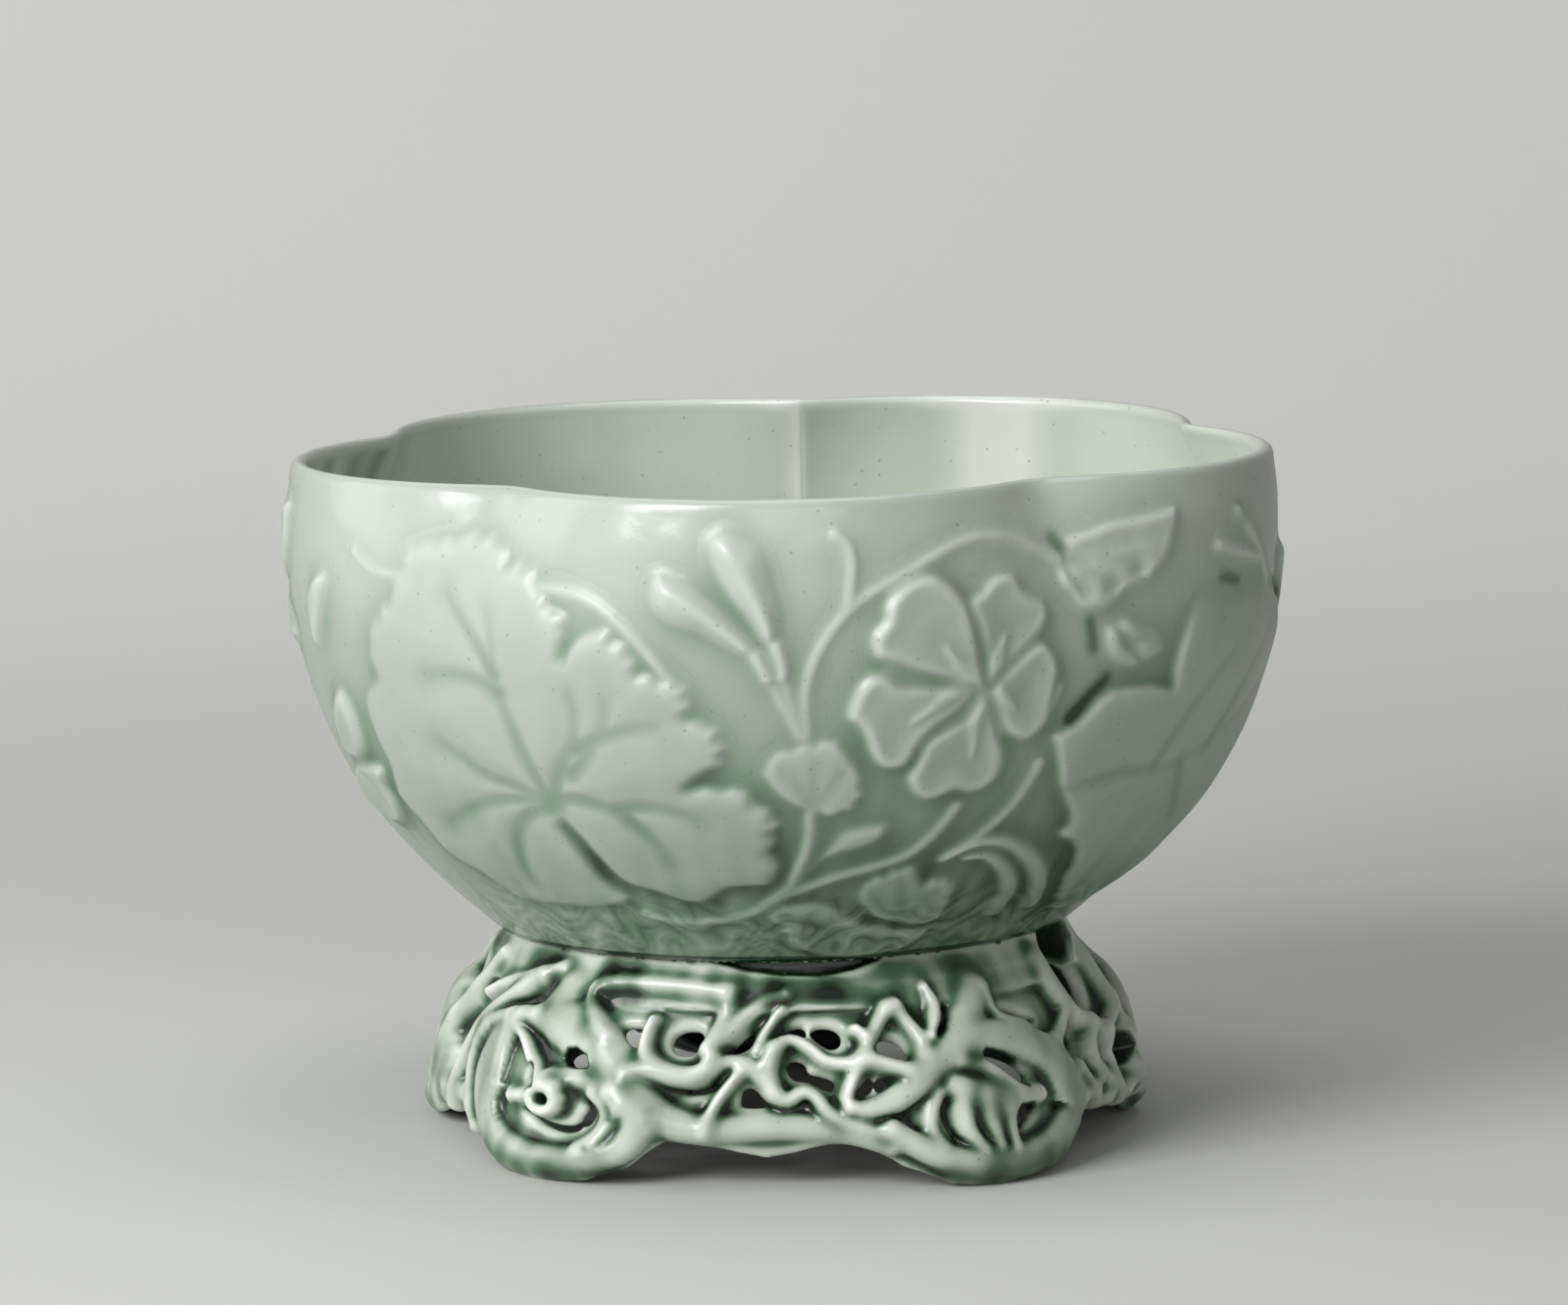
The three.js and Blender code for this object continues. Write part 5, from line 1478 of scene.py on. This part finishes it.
def layStandWork(work, turn, side):
    for points, widths, crest in work["strands"]:
        path = onStand(side, points)
        widths = np.interp(np.linspace(0, 1, len(path)), np.linspace(0, 1, len(widths)), widths)
        if side is not None:
            # half widths are as seen, so a branch that runs up the far side of a foot is wider than it looks
            unrolled = np.c_[np.radians(path[:, 0]) * stand["footRadius"], standWay(path[:, 1])]
            run = unit(np.gradient(unrolled, axis=0))
            facing = np.clip(np.cos(np.radians(path[:, 0] - 270)), 0.55, 1)
            widths = widths / np.hypot(run[:, 1] * facing, run[:, 0])
        addStrand(turned(path, turn), widths, crest)
    for points in work["holes"]:
        addHole(turned(onStand(side, points, True), turn))


lowEdge = sum([[(a + 72 * k, z) for a, z in stand["sideLowEdge"][:-1]] for k in range(3)], [])
lowEdge = np.array(stand["lowEdge"][:-1] + lowEdge + stand["backLowEdge"])
columnAzimuths = np.arange(stand["columns"]) * standStep
around = np.where(columnAzimuths < lowEdge[0, 0], columnAzimuths + 360, columnAzimuths)
lowWays = standWay(np.interp(around, lowEdge[:, 0], lowEdge[:, 1]))
sheetInside[:] = (standRows[None] - lowWays[:, None]) * 0.9

for work, times, side in ((eyeletFoot, 1, "left"), (diagonalBand, 1, "left"), (vines, 1, "left"),
                          (leftWork, 1, None), (clawFoot, 4, "right"), (sideWork, 3, None)):
    for k in range(times):
        layStandWork(work, 72 * k, side)
for middle, half in stand["pads"]:
    pad = np.array([(middle + half * side, z) for side, z in zip((-1, 0, 1), stand["padHeights"])])
    addStrand(pad, stand["padWidths"], stand["padCrest"])
for outline, deepest, times in stand["cuts"]:
    for k in range(times):
        addCut(turned(np.array(outline, float), 72 * k), deepest)
print("stand laid out")

pastEdge = np.clip(stand["sheetHalf"] - sheetInside, 0, None)[..., None]
rounded = np.hypot(pastEdge, standLayers - stand["sheetDepth"]) - stand["sheetHalf"]
standEnergy += np.exp(-rounded / stand["melt"]).astype(np.float32)
cornerAzimuth, cornerWay, cornerDepth = np.meshgrid(columnAzimuths, standRows, standLayers, indexing="ij")
standCorners = standPlace(cornerAzimuth, cornerWay, cornerDepth)
topRows = standRowHeights > stand["collarReach"]
topCorners = standCorners[:, topRows]
ringPlot = SimpleNamespace(azimuth=np.hypot(topCorners[..., 0], topCorners[..., 1]), way=topCorners[..., 2],
                           degree=1.0, wayOf=lambda height: height)
collarField = -insideBy(ringPlot, np.array(stand["collar"], float))
standEnergy[:, topRows] += np.exp(-collarField / stand["melt"]).astype(np.float32)
standField = -stand["melt"] * np.log(standEnergy)
standField = np.maximum(standField, -standCorners[..., 2])
standField = 0.5 * (standField - standCut + np.sqrt((standField + standCut) ** 2 + stand["cutRound"]))
standField = np.maximum(standField, standCorners[..., 2] - stand["seat"])
standField[:, :, 0] = standField[:, :, -1] = 2
standField[:, 0] = standField[:, -1] = 2


def sidePairs(solid):
    # places where two solid corners touch only across a diagonal, in each of the three planes
    for first, second in ((0, 1), (0, 2), (1, 2)):
        a = solid
        b, c = np.roll(solid, -1, first), np.roll(solid, -1, second)
        d = np.roll(b, -1, second)
        yield first, second, (a & d & ~b & ~c), (b & c & ~a & ~d)


for _ in range(8):
    found = 0
    for first, second, level, crossed in sidePairs(standField < 0):
        found += level.sum() + crossed.sum()
        standField[np.roll(level, 1, first)] = -0.02
        standField[crossed] = -0.02
    if not found:
        break
print("stand field closed, leftovers", int(found))

# The stand's pieces, from azimuth to azimuth, under the collar
sectors = {
    "scroll_foot_front_left": (195.9, 254.9), "pierced_panel_front": (254.9, 280.9),
    "scroll_foot_front_right": (280.9, 331.9), "pierced_panel_right": (331.9, 352.9),
    "scroll_foot_right": (352.9, 403.9), "pierced_panel_back_right": (403.9, 424.9),
    "scroll_foot_back": (424.9, 475.9), "pierced_panel_back_left": (475.9, 496.9),
    "scroll_foot_left": (496.9, 555.9),
}
standNames = list(sectors) + ["seat_collar"]
standLabel = np.zeros(standSize, np.int8)
for number, (start, end) in enumerate(sectors.values()):
    for lap in (-360, 0, 360):
        standLabel[(around + lap >= start) & (around + lap < end)] = number
standLabel[:, standRowHeights > stand["collarBottom"]] = len(sectors)
standSolid = standField < 0
for _ in range(6):
    moved = 0
    for number in range(len(standNames)):
        for first, second, level, crossed in sidePairs(standSolid & (standLabel == number)):
            for takers in (np.roll(level, 1, first), crossed):
                takers &= standSolid
                moved += takers.sum()
                standLabel[takers] = number
    if not moved:
        break
print("stand shared out, last moves", int(moved))

# Corner numbers of a cell, and its twelve edges
cellCorners = np.array([(i, j, k) for i in (0, 1) for j in (0, 1) for k in (0, 1)])
cellEdges = [(a, b) for a in range(8) for b in range(a + 1, 8)
             if abs(cellCorners[a] - cellCorners[b]).sum() == 1]


def fieldAt(field, spots):
    # values at places of the grid, which closes on itself round the axis
    i, j, k = np.moveaxis(spots, -1, 0)
    return field[i % standSize[0], np.minimum(j, standSize[1] - 1), np.minimum(k, standSize[2] - 1)]


def cornerSum(values, shares):
    # a cell's corner values, each weighed by its share along the three directions
    return sum(values[:, n] * shares[0][:, i] * shares[1][:, j] * shares[2][:, k]
               for n, (i, j, k) in enumerate(cellCorners))


def placeVertices(cells):
    # a point of the skin in each cell: the mean of its edge crossings, then moved onto the zero level
    spots = np.array(np.unravel_index(cells, standSize)).T
    values = fieldAt(standField, spots[:, None] + cellCorners[None]).astype(float)
    total, count = np.zeros((len(cells), 3)), np.zeros(len(cells))
    for a, b in cellEdges:
        cut = (values[:, a] < 0) != (values[:, b] < 0)
        share = np.where(cut, values[:, a] / np.where(cut, values[:, a] - values[:, b], 1), 0)
        total += cut[:, None] * (cellCorners[a] + share[:, None] * (cellCorners[b] - cellCorners[a]))
        count += cut
    crossed = count[:, None] > 0
    local = np.where(crossed, total / np.maximum(count, 1)[:, None], 0.5)
    ends = np.array([[-1.0, 1.0]])
    for _ in range(3):
        shares = [np.stack([1 - c, c], 1) for c in local.T]
        value = cornerSum(values, shares)
        grad = np.stack([cornerSum(values, shares[:n] + [ends] + shares[n + 1:]) for n in range(3)], 1)
        step = (value / np.maximum((grad ** 2).sum(1), 1e-3))[:, None] * grad
        local = np.where(crossed, np.clip(local - 0.8 * step, 0.05, 0.95), 0.5)
    grid = spots + local
    way, depth = standRows[0] + grid[:, 1] * stand["step"], standLayers[0] + grid[:, 2] * stand["step"]
    points = standPlace(grid[:, 0] * standStep, way, depth)
    points[:, 2] = np.maximum(points[:, 2], 0)
    return points, grid


def readField(field, grid):
    base = np.floor(grid).astype(int)
    share = grid - base
    total = 0
    for corner in cellCorners:
        total = total + np.prod(np.where(corner, share, 1 - share), axis=1) * fieldAt(field, base + corner)
    return total


def skinQuads(solid):
    # one face across every grid edge that leaves the solid, joining the four cells round that edge
    quads = []
    number = np.arange(solid.size).reshape(solid.shape)
    for way in range(3):
        one, other = [n for n in range(3) if n != way]
        spots = np.nonzero(solid != np.roll(solid, -1, way))
        leaving = solid[spots]
        corners = []
        for u, v in ((1, 1), (0, 1), (0, 0), (1, 0)):
            index = list(spots)
            index[one] = (index[one] - u) % solid.shape[one]
            index[other] = (index[other] - v) % solid.shape[other]
            corners.append(number[tuple(index)])
        quad = np.stack(corners, 1)
        flip = leaving if way != 1 else ~leaving
        quads.append(np.where(flip[:, None], quad, quad[:, ::-1]))
    cells, faces = np.unique(np.concatenate(quads), return_inverse=True)
    return cells, faces.reshape(-1, 4)


def vertexNormals(points, quads):
    flat = np.cross(points[quads[:, 2]] - points[quads[:, 0]], points[quads[:, 3]] - points[quads[:, 1]])
    return np.stack([np.bincount(quads.ravel(), np.repeat(flat[:, n], 4), len(points)) for n in range(3)], 1)


skinCells, skinFaces = skinQuads(standSolid)
skinNormals = unit(vertexNormals(placeVertices(skinCells)[0], skinFaces), 1e-12)


def spread3(field, size):
    # a blur of the solid over the three directions of the grid
    reach, weights = blurWeights(size, stand["step"])
    for side in range(3):
        field = sum(w * np.roll(field, n - reach, side) for n, w in enumerate(weights))
    return field


standFill = spread3(np.clip(0.5 - standField / stand["step"], 0, 1).astype(np.float32), stand["soften"])
print("stand skinned:", len(skinCells), "points")

# How the glaze lies on the stand: painted shade deep inside and in the cuts; deep low down, at the seat and
# in hollows, thin on edges
standFlow = {
    "inside": 4.5, "insideWidth": 2.5, "lowTop": 11, "lowDrop": 8, "cut": 1.4, "cutWidth": 1.2,
    "seatLow": 45, "seatRise": 9, "collarLow": 42, "collarRise": 5, "footWidth": 20, "footSqueeze": 1.55,
    "footAt": 21, "footRise": 13, "patches": 0.15, "full": 0.48, "fullWidth": 0.2, "inFull": 1.3,
    "insideShade": 1.2, "inLow": 0.68, "inSeat": 0.75, "ground": 0.12, "onFeet": 0.22, "crest": 0.95,
    "edge": 0.45, "edgeWidth": 0.14,
}


def makeStandPiece(number, name):
    cells, faces = skinQuads(standSolid & (standLabel == number))
    points, grid = placeVertices(cells)
    spots = np.minimum(np.searchsorted(skinCells, cells), len(skinCells) - 1)
    shared = skinCells[spots] == cells
    normals = np.where(shared[:, None], skinNormals[spots], vertexNormals(points, faces))
    mesh = addMesh("glazed_" + name, toFrame(points).tolist(), faces.tolist(), unit(normals, 1e-12))
    fill = readField(standFill, grid)
    depth = standLayers[0] + grid[:, 2] * stand["step"]
    azimuth, height = grid[:, 0] * standStep, points[:, 2]
    low = smooth((standFlow["lowTop"] - height) / standFlow["lowDrop"])
    # painted shade: the stand's inner faces and the faces of its cuts are made deep green to near black, as
    # they lie in shade
    inward = smooth((-depth - standFlow["inside"]) / standFlow["insideWidth"])
    cutShade = smooth((standFlow["cut"] - readField(standCut, grid)) / standFlow["cutWidth"])
    inward = np.maximum(inward, cutShade)
    uneven = np.clip(0.4 + 0.5 * streaks(azimuth, height, 11, 3, 16, 0.1), 0, 1)
    high = smooth((height - standFlow["seatLow"]) / standFlow["seatRise"]) * uneven
    for middle, half in stand["collarPools"]:
        pooled = np.exp(-((azimuth - middle) / half) ** 4)
        high = np.maximum(high, pooled * smooth((height - standFlow["collarLow"]) / standFlow["collarRise"]))
    aside = (azimuth - stand["frontLeft"] + 36) % 72 - 36
    feet = np.exp(-(standFlow["footSqueeze"] * aside / standFlow["footWidth"]) ** 2
                  - ((height - standFlow["footAt"]) / standFlow["footRise"]) ** 2)
    patchy = standFlow["patches"] * streaks(azimuth, height, 12, 12, 70, 0.25)
    pool = standFlow["inFull"] * (fill - standFlow["full"]) / standFlow["fullWidth"]
    pool = pool + standFlow["insideShade"] * inward + standFlow["inLow"] * low + standFlow["inSeat"] * high
    pool = pool + standFlow["ground"] + standFlow["onFeet"] * feet + patchy
    crest = np.clip((standFlow["edge"] - fill) / standFlow["edgeWidth"] - patchy, 0, 1)
    crest = standFlow["crest"] * crest * (1 - inward) * (1 - 0.9 * low) * (1 - high)
    addValues(mesh, pool=np.clip(pool, 0, 1), crest=crest)
    addPiece("glazed_" + name, mesh, materials["stand"], [name])


for number, name in enumerate(standNames):
    makeStandPiece(number, name)
print("stand made")

# Beads of melted glaze along the joint of bowl and stand, scattered about a ring of points
beads = {
    "count": 760, "radius": 72.3, "height": 56.4, "size": 0.001, "flatness": 0.45, "pool": 0.6,
    "uneven": 0.3,
}
beadInputs = {
    "Geometry": {"Geometry": None}, "Material": {"Material": materials["stand"]},
    "Float": {"Least": 0.25, "Most": 1.1, "Spread": 1.0}, "Int": {"Seed": 4},
}


def makeBeadTree():
    tree, given, made = addGroup("glazeBeads", "GeometryNodeTree", beadInputs, "Geometry", "Geometry")
    calculate = calculator(tree)
    spread = calculate("MULTIPLY", given["Spread"], beads["size"])
    low, high = (result(tree, "ShaderNodeCombineXYZ", {
        0: far, 1: far, 2: calculate("MULTIPLY", far, beads["flatness"])})
        for far in (calculate("MULTIPLY", spread, -1.0), spread))
    offset = result(tree, "FunctionNodeRandomValue", {0: low, 1: high, "Seed": given["Seed"]},
                    data_type="FLOAT_VECTOR")
    moved = result(tree, "GeometryNodeSetPosition", {"Geometry": given["Geometry"], "Offset": offset})
    size = addNode(tree, "FunctionNodeRandomValue", {
        2: given["Least"], 3: given["Most"], "Seed": given["Seed"]}, data_type="FLOAT").outputs[1]
    ball = result(tree, "GeometryNodeMeshIcoSphere", {"Radius": beads["size"], "Subdivisions": 2})
    copies = result(tree, "GeometryNodeInstanceOnPoints", {"Points": moved, "Instance": ball, "Scale": size})
    return endShape(tree, given, copies, made)


beadTurn = np.arange(beads["count"]) * 360 / beads["count"]
beadRing = polar(lambda a, z: beads["radius"] + 0 * a, beadTurn, np.full(beads["count"], beads["height"]))
beadMesh = growMesh("glaze_beads", toFrame(beadRing), makeBeadTree(), beadInputs)
beadAzimuth, beadHeight, _ = unplaced(pointsOf(beadMesh))
beadPool = beads["pool"] + beads["uneven"] * streaks(beadAzimuth, beadHeight, 21, 40, 200, 0.4)
addValues(beadMesh, pool=np.clip(beadPool, 0, 1), crest=0 * beadHeight)
addPiece("glaze_beads", beadMesh, None, ["bowl_shell"])
print("beads of glaze made")


# Floor, backdrop and light
stage = {
    "width": 6.0, "front": -3.0, "bend": 1.4, "radius": 1.2, "top": 4.0, "floor": linear(204, 205, 202),
    "roughness": 0.9, "paintedLight": (1, 1, 0.98, 1), "leftGlow": 0.29, "rightGlow": 0.235, "glowFrom": 0.25,
    "glowTo": 1.5, "world": (0.95, 0.95, 0.94, 1), "worldStrength": 0.2,
}


def makeStage():
    bend, radius = stage["bend"], stage["radius"]
    line = [(stage["front"], 0), (bend, 0)]
    line += [(bend + radius * math.sin(t), radius * (1 - math.cos(t)))
             for t in np.radians(np.arange(6, 91, 6))]
    line += [(bend + radius, stage["top"])]
    points = [(x, y, z) for x in (-stage["width"], stage["width"]) for y, z in line]
    faces = [(k, k + len(line), k + len(line) + 1, k + 1) for k in range(len(line) - 1)]
    mesh = addMesh("backdrop", points, faces)
    material, tree, paper = addMaterial("paper")
    calculate = calculator(tree)
    place = addNode(tree, "ShaderNodeSeparateXYZ", {
        0: addNode(tree, "ShaderNodeTexCoord").outputs["Object"]}).outputs
    # painted light: for the camera only, the backdrop glows, more towards the back and more on the left, as
    # lamp light would fall on it
    back = ramp(tree, place[1], stage["glowFrom"], stage["glowTo"], interpolation_type="SMOOTHSTEP")
    aside = result(tree, "ShaderNodeMapRange", {"Value": place[0], "From Min": -0.5, "From Max": 0.5,
                                                "To Min": stage["leftGlow"], "To Max": stage["rightGlow"]})
    seen = addNode(tree, "ShaderNodeLightPath").outputs["Is Camera Ray"]
    wire(tree, paper, {"Base Color": stage["floor"], "Roughness": stage["roughness"],
                       "Emission Color": stage["paintedLight"],
                       "Emission Strength": calculate("MULTIPLY", calculate("MULTIPLY", back, aside), seen)})
    mesh.materials.append(material)
    backdrop = addObject("backdrop", mesh)


lamps = {
    "key": {"place": (-1.28, -1.45, 1.02), "aim": (0, 0, 0.1), "size": (1.2, 1.1), "power": 44.5},
    "top": {"place": (0.1, -0.1, 1.9), "aim": (0, 0.1, 0.1), "size": (1.4, 1.0), "power": 9.0},
    "side": {"place": (-1.9, 0.15, 0.75), "aim": (0, 0, 0.12), "size": (1.0, 1.3), "power": 7.0},
    "front": {"place": (0.25, -2.0, 0.4), "aim": (0, 0, 0.03), "size": (1.4, 0.5), "power": 4.0},
}


def makeLamps():
    for name, values in lamps.items():
        light = bpy.data.lights.new(name, "AREA")
        light.shape, (light.size, light.size_y), light.energy = "RECTANGLE", values["size"], values["power"]
        lamp = addObject(name, light)
        lamp.location = values["place"]
        sight = Vector(values["aim"]) - Vector(values["place"])
        lamp.rotation_euler = sight.to_track_quat("-Z", "Y").to_euler()
    world = bpy.data.worlds.new("studio")
    world.use_nodes = True
    wire(world.node_tree, world.node_tree.nodes["Background"], {
        "Color": stage["world"], "Strength": stage["worldStrength"]})
    scene.world = world


makeStage()
makeLamps()
print("stage and light set")
